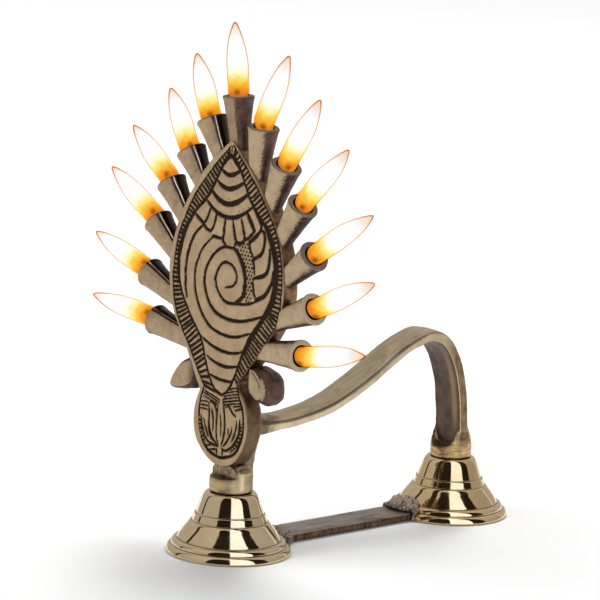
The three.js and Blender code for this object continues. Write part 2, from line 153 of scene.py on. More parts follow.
def noise(points, size, seed=0, octaves=1):
    """Smooth noise from -1 to 1 at each point, with features of that size."""
    total, weight, reach = 0, 1, 0
    for octave in range(octaves):
        q = np.asarray(points, float) * (2**octave / size)
        cell = np.floor(q).astype(np.int64)
        f = q - cell
        f = f * f * (3 - 2 * f)
        value = 0
        for corner in np.ndindex(2, 2, 2):
            w = np.prod([f[:, k] if c else 1 - f[:, k] for k, c in enumerate(corner)], axis=0)
            value = value + w * lattice(*(cell + corner).T, seed + octave)
        total = total + weight * value
        reach += weight
        weight /= 2
    return total / reach


def curve(points, step):
    """A centripetal Catmull-Rom curve through the points, sampled about every step."""
    p = np.asarray(points, float)
    p = np.vstack([2 * p[0] - p[1], p, 2 * p[-1] - p[-2]])
    knots = np.concatenate([[0], np.cumsum(np.sqrt(np.linalg.norm(np.diff(p, axis=0), axis=1)))])
    samples = []
    for i in range(1, len(p) - 2):
        count = max(2, int(np.linalg.norm(p[i + 1] - p[i]) / step) + 1)
        t = np.linspace(knots[i], knots[i + 1], count, endpoint=False)[:, None]
        t0, t1, t2, t3 = knots[i - 1 : i + 3]
        a1 = (t1 - t) / (t1 - t0) * p[i - 1] + (t - t0) / (t1 - t0) * p[i]
        a2 = (t2 - t) / (t2 - t1) * p[i] + (t - t1) / (t2 - t1) * p[i + 1]
        a3 = (t3 - t) / (t3 - t2) * p[i + 1] + (t - t2) / (t3 - t2) * p[i + 2]
        b1 = (t2 - t) / (t2 - t0) * a1 + (t - t0) / (t2 - t0) * a2
        b2 = (t3 - t) / (t3 - t1) * a2 + (t - t1) / (t3 - t1) * a3
        samples.append((t2 - t) / (t2 - t1) * b1 + (t - t1) / (t2 - t1) * b2)
    samples.append(p[-2:-1])
    return np.vstack(samples)


def along(points):
    """The distance along a line of points, at each point."""
    return np.concatenate([[0], np.cumsum(np.linalg.norm(np.diff(points, axis=0), axis=1))])


def tangents(points):
    """The direction of a line of points, at each point."""
    steps = np.gradient(points, axis=0)
    return steps / np.linalg.norm(steps, axis=1)[:, None]


def full_turn(count):
    return np.linspace(0, 2 * np.pi, count, endpoint=False)


def bent(start, middle, end):
    """A bow from start to end that passes through middle."""
    start, middle, end = (np.array(p, float) for p in (start, middle, end))
    pull = 2 * middle - (start + end) / 2
    t = np.linspace(0, 1, max(4, int(np.linalg.norm(end - start) / STROKE_STEP)))[:, None]
    return (1 - t) ** 2 * start + 2 * t * (1 - t) * pull + t**2 * end


def rounded(points, radius, steps=4):
    """A line of points with each corner between its ends rounded."""
    p = np.asarray(points, float)
    out = [p[0]]
    for before, here, after in zip(p, p[1:], p[2:]):
        reach = [min(radius, 0.45 * np.linalg.norm(q - here)) for q in (before, after)]
        a = here + (before - here) / np.linalg.norm(before - here) * reach[0]
        b = here + (after - here) / np.linalg.norm(after - here) * reach[1]
        out += [(1 - t) ** 2 * a + 2 * t * (1 - t) * here + t**2 * b for t in np.linspace(0, 1, steps + 1)]
    return np.array(out + [p[-1]])


def inside(x, z, polygon):
    """Whether each point lies in a polygon."""
    hits = np.zeros(len(x), bool)
    px, pz = np.array(polygon, float).T
    for i in range(len(px)):
        j = i - 1
        crosses = (pz[i] > z) != (pz[j] > z)
        with np.errstate(divide="ignore", invalid="ignore"):
            where = px[i] + (px[j] - px[i]) * (z - pz[i]) / (pz[j] - pz[i])
        hits ^= crosses & (x < where)
    return hits


# Meshes


def grid_faces(rows, columns, closed=True):
    """Quads between the points of a grid that are numbered row by row, with each row closed into a ring or not."""
    r, c = np.meshgrid(np.arange(rows - 1), np.arange(columns if closed else columns - 1), indexing="ij")
    r, c = r.ravel() * columns, c.ravel()
    c2 = (c + 1) % columns
    return np.stack([r + c, r + c2, r + columns + c2, r + columns + c], axis=1).tolist()


def fan(pole, ring):
    return [[pole, a, b] for a, b in zip(ring, np.roll(ring, -1))]


def revolve(profile, segments):
    """Points and faces of a profile of (radius, height) turned about Z. A radius of 0 is a pole."""
    turns = full_turn(segments)
    points, rows = [], []
    for radius, height in profile:
        first = len(points)
        if radius < 1e-6:
            points.append((0, 0, height))
            rows.append([first] * segments)
        else:
            points += [(radius * math.cos(t), radius * math.sin(t), height) for t in turns]
            rows.append(list(range(first, first + segments)))
    faces = []
    for low, high in zip(rows, rows[1:]):
        for i in range(segments):
            j = (i + 1) % segments
            face = list(dict.fromkeys([low[i], low[j], high[j], high[i]]))
            if len(face) > 2:
                faces.append(face)
    return np.array(points, float), faces


def ring_stack(rings):
    """A closed body from rings of the same number of points."""
    rings = np.array(rings, float)
    points = np.vstack([rings.reshape(-1, 3), rings[0].mean(0), rings[-1].mean(0)])
    rows, count = rings.shape[:2]
    faces = grid_faces(rows, count)
    faces += fan(rows * count, np.arange(count)) + fan(rows * count + 1, np.arange(count) + (rows - 1) * count)
    return points, faces


def level_ring(x, y, height):
    return np.stack([x, y, np.full(len(x), height)], axis=1)


def squircle(half_x, half_y, power, turns):
    """A ring between an ellipse and a box with round corners."""
    c, s = np.cos(turns), np.sin(turns)
    x = half_x * np.sign(c) * np.abs(c) ** (2 / power)
    y = half_y * np.sign(s) * np.abs(s) ** (2 / power)
    return x, y


def new_mesh(name, points, faces, weld=True):
    """A smooth mesh of points in millimetres, with its faces turned outwards and its doubled points welded."""
    mesh = bpy.data.meshes.new(name)
    mesh.from_pydata((np.asarray(points) * MM).tolist(), [], [list(map(int, f)) for f in faces])
    work = bmesh.new()
    if weld:
        mesh.validate()
    work.from_mesh(mesh)
    if weld:
        bmesh.ops.remove_doubles(work, verts=work.verts, dist=1e-7)
    bmesh.ops.recalc_face_normals(work, faces=work.faces)
    work.to_mesh(mesh)
    work.free()
    mesh.shade_smooth()
    return mesh


def placed(name, data):
    """A new object in the scene."""
    made = bpy.data.objects.new(name, data)
    bpy.context.scene.collection.objects.link(made)
    return made


def mesh_points(mesh):
    """A mesh's points, in millimetres."""
    points = np.empty(len(mesh.vertices) * 3)
    mesh.vertices.foreach_get("co", points)
    return points.reshape(-1, 3) / MM


def cad_points(node):
    return mesh_points(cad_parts[node].data)


def mesh_normals(mesh):
    normals = np.empty(len(mesh.vertices) * 3)
    mesh.vertices.foreach_get("normal", normals)
    return normals.reshape(-1, 3)


def set_points(mesh, points):
    mesh.vertices.foreach_set("co", (points * MM).ravel())
    mesh.update()


def set_attributes(mesh, **layers):
    """Gives the points of a mesh their values for its material, as an array or one number for all."""
    for name, values in layers.items():
        layer = mesh.attributes.new(name, "FLOAT", "POINT")
        layer.data.foreach_set("value", np.broadcast_to(values, len(mesh.vertices)).astype(np.float32))


def piece(name, mesh, material, slot, *nodes):
    """A finished piece of the lamp that stands for CAD nodes."""
    made = placed(name, mesh)
    for one in material if isinstance(material, list) else [material]:
        mesh.materials.append(one)
    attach(made, "root")
    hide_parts(*nodes)
    return made


def joined(*parts):
    """Several (points, faces) as one."""
    points, faces, first = [], [], 0
    for p, f in parts:
        points.append(p)
        faces += [[i + first for i in face] for face in f]
        first += len(p)
    return np.vstack(points), faces


def fused(name, parts, voxel, smoothing):
    """One closed skin over closed parts that run into each other."""
    rough = placed(name, new_mesh(name, *joined(*parts)))
    remesh = rough.modifiers.new("skin", "REMESH")
    remesh.mode = "VOXEL"
    remesh.voxel_size = voxel * MM
    smooth = rough.modifiers.new("smooth", "SMOOTH")
    smooth.iterations = smoothing
    smooth.factor = 0.5
    whole = rough.evaluated_get(bpy.context.evaluated_depsgraph_get())
    mesh = bpy.data.meshes.new_from_object(whole)
    bpy.data.objects.remove(rough)
    mesh.shade_smooth()
    return mesh


def roughen(mesh, *layers):
    """Moves the points in along their normals by layers of noise: (size, depth, seed)."""
    points, normals = mesh_points(mesh), mesh_normals(mesh)
    depth = sum(d * (noise(points, size, seed) - 1) / 2 for size, d, seed in layers)
    set_points(mesh, points + normals * depth[:, None])


# Materials


class Tree:
    """The nodes of a material or of the world."""

    def __init__(self, name, kind="Material"):
        self.owner = (bpy.data.worlds if kind == "World" else bpy.data.materials).new(name)
        self.owner.use_nodes = True
        self.nodes = self.owner.node_tree.nodes
        self.links = self.owner.node_tree.links
        self.nodes.clear()
        self.output = self.nodes.new("ShaderNodeOutput" + kind)
        self.place = self.add("TexCoord").outputs["Object"]

    def add(self, kind, inputs=(), **settings):
        node = self.nodes.new("ShaderNode" + kind)
        for key, value in settings.items():
            setattr(node, key, value)
        for key, value in dict(inputs).items():
            self.put(node.inputs[key], value)
        return node

    def put(self, socket, value):
        if isinstance(value, bpy.types.NodeSocket):
            self.links.new(value, socket)
        else:
            socket.default_value = value

    def noise(self, size, detail=4, roughness=0.55, place=None):
        """Noise from 0 to 1 with features of that many millimetres."""
        inputs = {"Vector": place or self.place, "Scale": 1 / (size * MM), "Detail": detail, "Roughness": roughness}
        return self.add("TexNoise", inputs).outputs["Fac"]

    def speckle(self, size, low, high, detail=5, roughness=0.55, stretch=None):
        """Noise that goes from 0 to 1 between two of its levels. Stretch scales each axis, for grain."""
        return self.ramp(self.noise(size, detail, roughness, stretch and self.stretched(*stretch)), low, high)

    def height(self):
        return self.add("SeparateXYZ", {0: self.place}).outputs["Z"]

    def seen_directly(self):
        """1 for camera, glossy and transmission rays, and 0 for the rest."""
        path = self.add("LightPath").outputs
        either = self.math("ADD", path["Is Camera Ray"], path["Is Glossy Ray"])
        return self.math("ADD", either, path["Is Transmission Ray"])

    def stretched(self, x, y, z):
        """The place with each axis scaled, for grain that runs one way."""
        return self.add("Mapping", {"Vector": self.place, "Scale": (x, y, z)}).outputs["Vector"]

    def ramp(self, value, low, high, out_low=0.0, out_high=1.0):
        inputs = {"Value": value, "From Min": low, "From Max": high, "To Min": out_low, "To Max": out_high}
        return self.add("MapRange", inputs).outputs["Result"]

    def math(self, operation, a, b=0.0):
        return self.add("Math", {0: a, 1: b}, operation=operation, use_clamp=True).outputs[0]

    def blend(self, amount, a, b):
        """Colour a where amount is 0 and b where it is 1."""
        node = self.add("Mix", data_type="RGBA")
        self.put(node.inputs["Factor"], amount)
        self.put(node.inputs["A"], a)
        self.put(node.inputs["B"], b)
        return node.outputs["Result"]

    def attribute(self, name):
        return self.add("Attribute", attribute_name=name).outputs["Fac"]

    def bump(self, height, distance, strength=1.0, normal=None):
        inputs = {"Height": height, "Distance": distance * MM, "Strength": strength}
        if normal is not None:
            inputs["Normal"] = normal
        return self.add("Bump", inputs).outputs["Normal"]

    def finish(self, shader):
        self.links.new(shader, self.output.inputs["Surface"])
        return self.owner

    def metal(self, color, roughness, normal, metallic=1.0):
        inputs = {"Base Color": color, "Roughness": roughness, "Metallic": metallic, "Normal": normal}
        return self.finish(self.add("BsdfPrincipled", inputs).outputs["BSDF"])


def rgb(r, g, b):
    return (r, g, b, 1.0)


KHAKI = rgb(0.66, 0.50, 0.31)
KHAKI_DEEP = rgb(0.36, 0.25, 0.145)
PATINA = rgb(0.040, 0.024, 0.015)
UMBER = rgb(0.100, 0.060, 0.043)
WALL_BROWN = rgb(0.34, 0.19, 0.105)


def plate_brass():
    """Satin brass, pale on the high parts, with painted highlights along the grooves' edges, dark patina in the
    engraving and brown walls.
    """
    t = Tree("plate_brass")
    patina = t.attribute("patina")
    cloud = t.ramp(t.noise(6, 6, 0.6), 0.35, 0.65, -0.15, 0.15)
    brass = t.blend(t.math("ADD", t.attribute("tone"), cloud), KHAKI_DEEP, KHAKI)
    pits = t.speckle(0.6, 0.62, 0.72, 3, 0.7)
    brass = t.blend(t.math("MULTIPLY", pits, 0.55), brass, UMBER)
    grime = t.ramp(t.noise(2.6, 6, 0.65), 0.3, 0.7, -0.2, 0.2)
    dark = t.math("ADD", patina, t.math("MULTIPLY", grime, t.ramp(patina, 0.05, 0.4)))
    height = t.height()
    wall = t.blend(t.ramp(height, 0.055, 0.075), rgb(0.195, 0.122, 0.062), WALL_BROWN)
    verdigris = t.math("MULTIPLY", t.speckle(5, 0.55, 0.70), t.ramp(height, 0.07, 0.09, 0, 0.55))
    wall = t.blend(verdigris, wall, rgb(0.36, 0.31, 0.10))
    walls = t.blend(t.speckle(2.4, 0.40, 0.70, 6, 0.7), wall, UMBER)
    color = t.blend(t.attribute("wall"), t.blend(dark, brass, PATINA), walls)
    roughness = t.ramp(dark, 0, 1, 0.38, 0.62)
    grain = t.bump(t.noise(0.4, 4, 0.7), 0.05, 0.6)
    return t.metal(color, roughness, t.bump(pits, -0.08, 0.8, grain))


def socket_brass():
    """Cast brass, ground pale on its front face and left dark elsewhere, with painted highlights and painted shade.
    """
    t = Tree("socket_brass")
    edge = t.ramp(t.noise(0.85, 6, 0.85), 0.36, 0.64, -0.44, 0.44)
    ground = t.ramp(t.math("ADD", t.attribute("facet"), edge), 0.44, 0.56)
    cast = t.blend(t.speckle(3.5, 0.35, 0.65), rgb(0.088, 0.052, 0.041), rgb(0.165, 0.098, 0.078))
    cloud = t.ramp(t.noise(3, 5), 0.35, 0.65, -0.16, 0.16)
    pale = t.blend(t.math("ADD", t.attribute("tone"), cloud), KHAKI_DEEP, KHAKI)
    pits = t.speckle(0.55, 0.61, 0.67, 3, 0.7)
    color = t.blend(t.math("MULTIPLY", pits, 0.75), t.blend(ground, cast, pale), PATINA)
    # Painted highlights on the rims and along the left sockets' sides.
    color = t.blend(t.attribute("burnish"), color, rgb(0.95, 0.82, 0.60))
    # Painted shade and dark reflections, and the bore darker deeper in.
    color = t.blend(t.attribute("soot"), color, PATINA)
    side = t.ramp(t.attribute("smooth"), 0, 1, 0.52, 0.20)
    roughness = t.add("Mix", {"Factor": ground, "A": side, "B": 0.52}).outputs["Result"]
    grain = t.bump(t.noise(0.6, 5, 0.65), 0.08, 0.5)
    metallic = t.ramp(ground, 0, 1, 1.0, 0.55)
    return t.metal(color, roughness, t.bump(pits, -0.08, 0.7, grain), metallic)


def cast_brass():
    """Filed cast brass with streaks of gold, painted highlights and painted shade."""
    t = Tree("cast_brass")
    streaks = t.noise(5, 6, 0.7, t.stretched(0.3, 0.3, 2.6))
    color = t.blend(t.ramp(streaks, 0.36, 0.64), rgb(0.31, 0.225, 0.12), rgb(0.49, 0.385, 0.205))
    color = t.blend(t.speckle(4, 0.54, 0.76), color, UMBER)
    # The colour of the painted shade: a dark speckled scale.
    scale = t.blend(t.speckle(1.6, 0.42, 0.60, 6, 0.75), rgb(0.085, 0.06, 0.042), rgb(0.36, 0.275, 0.18))
    color = t.blend(t.attribute("burnish"), color, rgb(0.90, 0.74, 0.46))
    color = t.blend(t.attribute("recess"), color, scale)
    color = t.blend(t.attribute("seam"), color, PATINA)
    grain = t.bump(streaks, 0.14, 0.7)
    return t.metal(color, t.ramp(streaks, 0.3, 0.7, 0.42, 0.30), t.bump(t.noise(0.5, 4), 0.06, 0.6, grain))


def handle_brass():
    """Satin brass, rubbed along the strap, with a brown inner side in painted shade, painted shade in its crease,
    painted highlights and a golden collar.
    """
    t = Tree("handle_brass")
    rubbed = t.noise(4, 6, 0.65, t.stretched(2.0, 0.35, 0.35))
    color = t.blend(t.ramp(rubbed, 0.38, 0.62), rgb(0.46, 0.365, 0.23), rgb(0.60, 0.49, 0.325))
    stain = t.speckle(9, 0.55, 0.75)
    color = t.blend(t.math("MULTIPLY", stain, 0.5), color, UMBER)
    filed = t.speckle(2.6, 0.38, 0.62, 6, 0.7, (0.4, 2.2, 0.6))
    color = t.blend(t.attribute("side"), color, t.blend(filed, rgb(0.13, 0.078, 0.042), rgb(0.34, 0.22, 0.105)))
    lathe = t.speckle(2.2, 0.4, 0.62, 6, 0.7, (0.5, 0.5, 2.4))
    gold = t.blend(lathe, rgb(0.27, 0.160, 0.072), rgb(0.64, 0.44, 0.195))
    color = t.blend(t.attribute("gold"), color, gold)
    # Painted highlights.
    color = t.blend(t.attribute("burnish"), color, rgb(0.86, 0.70, 0.45))
    ragged = t.ramp(t.noise(1.6, 6, 0.7), 0.3, 0.7, -0.25, 0.25)
    recess = t.attribute("recess")
    dark = t.math("ADD", recess, t.math("MULTIPLY", ragged, t.ramp(recess, 0.1, 0.5)))
    # The painted shade and the stains: a dark mottle, with a painted highlight of warm brown in the hollow.
    smoky = t.blend(t.speckle(6, 0.36, 0.64, 6, 0.65), rgb(0.060, 0.040, 0.034), rgb(0.11, 0.073, 0.055))
    color = t.blend(dark, color, t.blend(t.attribute("warm"), smoky, rgb(0.25, 0.165, 0.10)))
    pits = t.speckle(0.6, 0.62, 0.72, 3, 0.7)
    color = t.blend(t.math("MULTIPLY", pits, 0.55), color, UMBER)
    grain = t.bump(rubbed, 0.05, 0.5)
    return t.metal(color, t.ramp(rubbed, 0.3, 0.7, 0.40, 0.29), t.bump(t.noise(0.4, 4, 0.7), 0.05, 0.6, grain))


def polished_brass(end):
    """Turned and polished brass with hair-fine turning lines, dark in its grooves and in a painted shadow round the
    collar. The rear foot's is more golden.
    """
    t = Tree(f"polished_brass_{end}")
    tint = t.speckle(11, 0.35, 0.65, 4)
    deep, pale = {
        "front": (rgb(0.70, 0.555, 0.335), rgb(0.78, 0.635, 0.405)),
        "rear": (rgb(0.70, 0.52, 0.27), rgb(0.80, 0.635, 0.37)),
    }[end]
    color = t.blend(tint, deep, pale)
    color = t.blend(t.attribute("recess"), color, PATINA)
    lines = t.noise(0.5, 3, 0.6, t.stretched(0.02, 0.02, 1))
    smear = t.ramp(t.noise(5, 5), 0.4, 0.8, 0.05, 0.12)
    return t.metal(color, smear, t.bump(lines, 0.004, 0.5))


def fastener_brass():
    """Plain turned brass of the screws and washers."""
    t = Tree("fastener_brass")
    worn = t.noise(1.8, 5)
    color = t.blend(t.ramp(worn, 0.35, 0.65), KHAKI_DEEP, rgb(0.64, 0.50, 0.29))
    return t.metal(color, t.ramp(worn, 0.3, 0.7, 0.3, 0.45), t.bump(t.noise(0.4, 3), 0.03, 0.6))


def braze_metal():
    """Rough, pitted, heat-stained braze with bright flecks."""
    t = Tree("braze")
    lumps = t.noise(1.6, 6, 0.75, t.stretched(1.7, 0.6, 1.0))
    color = t.blend(t.ramp(lumps, 0.40, 0.60), rgb(0.065, 0.046, 0.036), rgb(0.52, 0.42, 0.32))
    height = t.height()
    merged = t.math("MULTIPLY", t.ramp(lumps, 0.34, 0.56), t.ramp(height, 0.0045, 0.0085, 0, 0.85))
    color = t.blend(merged, color, rgb(0.66, 0.55, 0.41))
    flecks = t.speckle(1.1, 0.57, 0.63, 5, 0.8)
    color = t.blend(flecks, color, rgb(0.92, 0.80, 0.62))
    pits = t.speckle(0.7, 0.60, 0.70, 4, 0.7)
    color = t.blend(pits, color, PATINA)
    grain = t.bump(t.noise(0.7, 6, 0.75), 0.3, 0.9)
    return t.metal(color, t.ramp(lumps, 0.3, 0.7, 0.55, 0.36), t.bump(pits, -0.2, 0.8, grain), 0.8)


def bar_brass():
    """Dull, heat-stained strip with scratches along it, worn pale along its edges."""
    t = Tree("bar_brass")
    scratches = t.noise(3, 6, 0.7, t.stretched(3.0, 0.12, 3.0))
    color = t.blend(t.ramp(scratches, 0.36, 0.64), rgb(0.25, 0.21, 0.175), rgb(0.50, 0.43, 0.36))
    stain = t.speckle(9, 0.50, 0.66, 6, 0.65, (1.4, 0.6, 1))
    color = t.blend(t.math("MULTIPLY", stain, 0.8), color, rgb(0.085, 0.070, 0.062))
    rust = t.speckle(2.2, 0.44, 0.62, 6, 0.75, (1, 1.8, 0.35))
    side = t.blend(rust, rgb(0.070, 0.046, 0.036), rgb(0.30, 0.185, 0.10))
    color = t.blend(t.attribute("side"), color, side)
    color = t.blend(t.attribute("worn"), color, rgb(0.78, 0.68, 0.52))
    grain = t.bump(scratches, 0.06, 0.7)
    return t.metal(color, t.ramp(scratches, 0.3, 0.7, 0.5, 0.36), t.bump(t.noise(0.5, 4), 0.05, 0.7, grain))


def cotton_wick():
    """Charred cotton soaked in ghee."""
    t = Tree("cotton_wick")
    strands = t.noise(0.7, 5, 0.7)
    color = t.blend(t.ramp(strands, 0.35, 0.65), rgb(0.012, 0.008, 0.006), rgb(0.10, 0.045, 0.018))
    inputs = {"Base Color": color, "Roughness": 0.7, "Normal": t.bump(strands, 0.2, 0.9)}
    return t.finish(t.add("BsdfPrincipled", inputs).outputs["BSDF"])


def color_stops(t, value, *stops):
    """A colour that runs through stops of (position, colour)."""
    node = t.add("ValToRGB", {"Fac": value})
    ramp = node.color_ramp
    while len(ramp.elements) < len(stops):
        ramp.elements.new(1.0)
    for element, (position, color) in zip(ramp.elements, stops):
        element.position = position
        element.color = color
    return node.outputs["Color"]


def flame_core():
    """Glowing gas: dim orange at the base, with the charred wick in it, then yellow and white."""
    t = Tree("flame_core")
    height = t.attribute("height")
    stirred = t.math("ADD", height, t.ramp(t.noise(2.5, 3), 0.3, 0.7, -0.035, 0.035))
    color = color_stops(
        t,
        stirred,
        (0.0, rgb(0.24, 0.17, 0.08)),
        (0.06, rgb(0.37, 0.175, 0.02)),
        (0.13, rgb(0.40, 0.25, 0.035)),
        (0.20, rgb(0.417, 0.37, 0.085)),
        (0.27, rgb(0.434, 0.52, 0.27)),
        (0.34, rgb(0.46, 0.60, 0.72)),
        (0.48, rgb(0.475, 0.625, 0.98)),
        (0.75, rgb(0.50, 0.70, 1.15)),
        (1.0, rgb(0.51, 0.68, 1.0)),
    )
    color = t.blend(t.attribute("char"), color, rgb(0.07, 0.022, 0.004))
    glow = t.add("Emission", {"Color": color, "Strength": 2.4}).outputs["Emission"]
    clear = t.add("BsdfTransparent", {"Color": rgb(1.0, 0.72, 0.42)}).outputs["BSDF"]
    solid = t.ramp(stirred, 0.02, 0.10, 0.75, 1.0)
    return t.finish(t.add("MixShader", {0: solid, 1: clear, 2: glow}).outputs["Shader"])


def flame_skin():
    """The thin orange edge of the flame, which tints what is behind it."""
    t = Tree("flame_skin")
    height = t.attribute("height")
    tint = color_stops(
        t,
        t.math("ADD", height, t.ramp(t.noise(3, 3), 0.3, 0.7, -0.02, 0.02)),
        (0.0, rgb(0.90, 0.50, 0.25)),
        (0.2, rgb(1.0, 0.66, 0.30)),
        (0.45, rgb(0.90, 0.70, 0.48)),
        (0.75, rgb(0.86, 0.62, 0.40)),
        (1.0, rgb(0.72, 0.40, 0.18)),
    )
    return t.finish(t.add("BsdfTransparent", {"Color": tint}).outputs["BSDF"])


# The plate


PLATE_FOOT = [(-9, 2.75), (-6.2, 1.2), (-3, 0.05), (0.3, -0.3), (3.4, -0.15), (6.5, 0.85), (9.2, 2.5)]  # (x, rise)


def edge_lines():
    """The plate's left and right edge as (x, z), from the bottom to the tip, from its CAD node."""
    points = cad_points("front_plate")
    back = points[:, 1].max()
    wall = points[np.abs(points[:, 1] - (back - PLATE_BEVEL)) < 0.05][:, [0, 2]]
    wall = np.unique(wall.round(3), axis=0)
    bottom, tip = wall[[wall[:, 1].argmin(), wall[:, 1].argmax()]]
    straight = wall[:, 1] > bottom[1] + 4
    left, right = wall[straight & (wall[:, 0] < -0.2)], wall[straight & (wall[:, 0] > 0.2)]
    left, right = left[left[:, 1].argsort()], right[right[:, 1].argsort()]
    foot = [(x, bottom[1] + rise) for x, rise in PLATE_FOOT]
    line = curve(np.vstack([left[::-1], foot, right]), 0.1)
    lowest = line[:, 1].argmin()
    return np.vstack([tip, line[: lowest + 1]])[::-1], np.vstack([line[lowest:], tip])


def plate_rows(left, right):
    """Heights of the plate's rows of points, closer together where an edge runs across."""
    heights = np.linspace(left[0, 1], left[-1, 1], 12001)
    travel = 0
    for side in (left, right):
        x = np.interp(heights, side[:, 1], side[:, 0])
        travel = np.maximum(travel, np.hypot(np.diff(x), np.diff(heights)))
    total = np.concatenate([[0], np.cumsum(travel)])
    rows = np.linspace(0, total[-1], int(total[-1] / PLATE_STEP) + 2)[1:-1]
    return np.interp(rows, total, heights)


# The border's edges on the plate's face, from the tip down: (x, height above the floor)

LEFT_OUTER = [(-0.7, 161.4), (-9.4, 153), (-17.3, 144.3), (-22.8, 136.8), (-26.5, 129.8), (-29.7, 122.4),
    (-31.8, 110), (-32, 105), (-29.8, 94.3), (-25.2, 85.9), (-20.6, 80.1), (-16, 73), (-10.2, 65.1)]
LEFT_INNER = [(-0.7, 157.7), (-4.8, 153.5), (-8.2, 147.7), (-13.6, 139.8), (-19.8, 133.9), (-25.5, 124.9),
    (-28.6, 114.5), (-27.8, 104.9), (-25.5, 99.1), (-19.3, 90.5), (-13.9, 84.3), (-10.6, 76.3), (-7.7, 69.7),
    (-4.6, 65.6), (-0.2, 63.6)]
RIGHT_OUTER = [(1, 161.8), (9.3, 153.9), (16.4, 146.4), (22.3, 138.9), (26.4, 132.7), (29.8, 124.8),
    (31.8, 115), (31.8, 108), (30.3, 97.6), (25.7, 90.5), (19.8, 81.3), (14, 75.1), (8.6, 69.7)]
RIGHT_INNER = [(1.4, 156.4), (6, 152.3), (9.8, 145.6), (13.9, 139.8), (20.2, 133.9), (24.3, 127.3),
    (27, 119.5), (27.2, 111.2), (25.3, 103.7), (20.8, 96.6), (14.8, 88.8), (11.1, 81.8), (8.2, 74.7),
    (5.3, 68.8), (2.6, 65.2), (0.2, 63.6)]

TIP_ARCH = [(-5.4, 153), (-2.8, 156.3), (0.2, 157.7), (3, 155.8), (6, 152.5)]

# Grooves that bow across the face: left end, middle, right end, width

BOWS = [
    ((-5, 151.7), (0, 150.3), (5.8, 153.1), 1.6),
    ((-7.3, 147.2), (-0.5, 144.9), (8.2, 148.7), 1.75),
    ((-10.6, 143), (-0.7, 138.9), (10.8, 144.6), 1.95),
    ((-13.9, 139.3), (-0.7, 133.7), (13.9, 140), 1.6),
    ((-13.9, 85), (-1, 81), (10.9, 82.6), 1.15),
    ((-9.7, 77.7), (-0.5, 75.2), (8.4, 76.5), 1.15),
    ((-7.5, 70.6), (0, 69.5), (6.3, 70), 1.1),
]

# The petals under the scallops, the conch's coil and the lobes on its right: width, then its line

PETALS = [
    (1.1, [(-10.9, 136.4), (-11.9, 133.9), (-13.2, 131.2), (-15.3, 128.9)]),
    (1.1, [(-7.3, 134.5), (-8.4, 130.6), (-9.2, 128.6), (-10.4, 127.2)]),
    (1.2, [(-2.1, 133.1), (-2.7, 127.3), (-3, 124.3), (-1.3, 122.8)]),
    (1.2, [(2.3, 133.1), (3.7, 127.3), (4.5, 125.2), (3.8, 123.3)]),
    (1.2, [(7.3, 134.1), (9.3, 128.5), (9.8, 126.4)]),
    (1.8, [(10.6, 137), (13.9, 132.3), (15.2, 130.6)]),
    (1.3, [(13.9, 139.8), (17.7, 135.2), (18.9, 133.1), (18.1, 130.6), (13.1, 126.6)]),
    (1.2, [(-20.2, 132.8), (-15.3, 129.5), (-12.6, 127.4), (-10.4, 127)]),
    (1.0, [(-9.2, 125.4), (-7.8, 125.2), (-5.4, 125), (-3.6, 125.2)]),
    (1.2, [(4.3, 125.4), (5.4, 124.6), (7.4, 124.7), (8.8, 125.5), (9.8, 127.4)]),
    (1.1, [(9.6, 126.6), (11.4, 127.2), (13.2, 128.6), (14.9, 130.8)]),
]
COIL = [
    (1.0, [(-0.3, 106.3), (4.1, 107.6), (6, 111.4), (3.3, 115.3), (-2.2, 115.8), (-6.4, 109.9), (-5.1, 104.9),
        (-0.5, 100.8), (5.8, 100.8), (13.3, 101.8), (19.5, 104.3)]),
    (1.9, [(5.8, 101), (9.9, 104.5), (10.8, 110.3), (9.1, 116.6), (5.3, 121.2), (3.3, 122.2)]),
    (1.25, [(3.3, 122.2), (-2.6, 121.8), (-9.3, 117), (-13.1, 108.7), (-10.5, 100.3), (-6, 95.9), (1.5, 94),
        (9.8, 94.5), (21.5, 98)]),
    (1.05, [(-9.3, 124.9), (-15.5, 118.7), (-19, 108.7), (-16.7, 98.7), (-10.2, 90.5), (-2.7, 87.8),
        (5.7, 87.6), (14.8, 90.3)]),
    (1.3, [(-15.3, 128.7), (-20.1, 124.1), (-24, 114.5), (-24.3, 104.5), (-23.2, 99)]),
]
LOBES = [
    (1.5, [(19.1, 131.2), (20.5, 130.8), (21.2, 128.3), (19.9, 122.8), (14.9, 119.5)]),
    (1.1, [(17.4, 129.1), (14.9, 127.4), (12.4, 125.3), (13.3, 122.8), (14.9, 120.5)]),
    (1.5, [(24.1, 124.5), (24.5, 121.6), (22.8, 115.3), (15.3, 112)]),
    (1.0, [(15.1, 119.5), (15.8, 116.2), (16.2, 113.7)]),
    (1.5, [(26.6, 116.2), (26.2, 112.4), (22, 106.2), (17, 104.1)]),
    (1.0, [(15.5, 111.2), (15.8, 107.8), (17, 104.9)]),
]

# The ground behind the coil that is set with small round holes: its outline, and their pitch and radius

NET = [(4.9, 124.5), (7.5, 124.8), (10, 127.5), (13, 127.5), (12.5, 124), (14, 120), (15, 118), (15, 103),
    (10.5, 101.8), (11.5, 108), (11.5, 113), (10, 117), (8, 120), (5.3, 122)]
NET_PITCH = 1.7
NET_HOLE = 0.52

# The oval below: its field, the lotus, the hatching over it and the beads round it

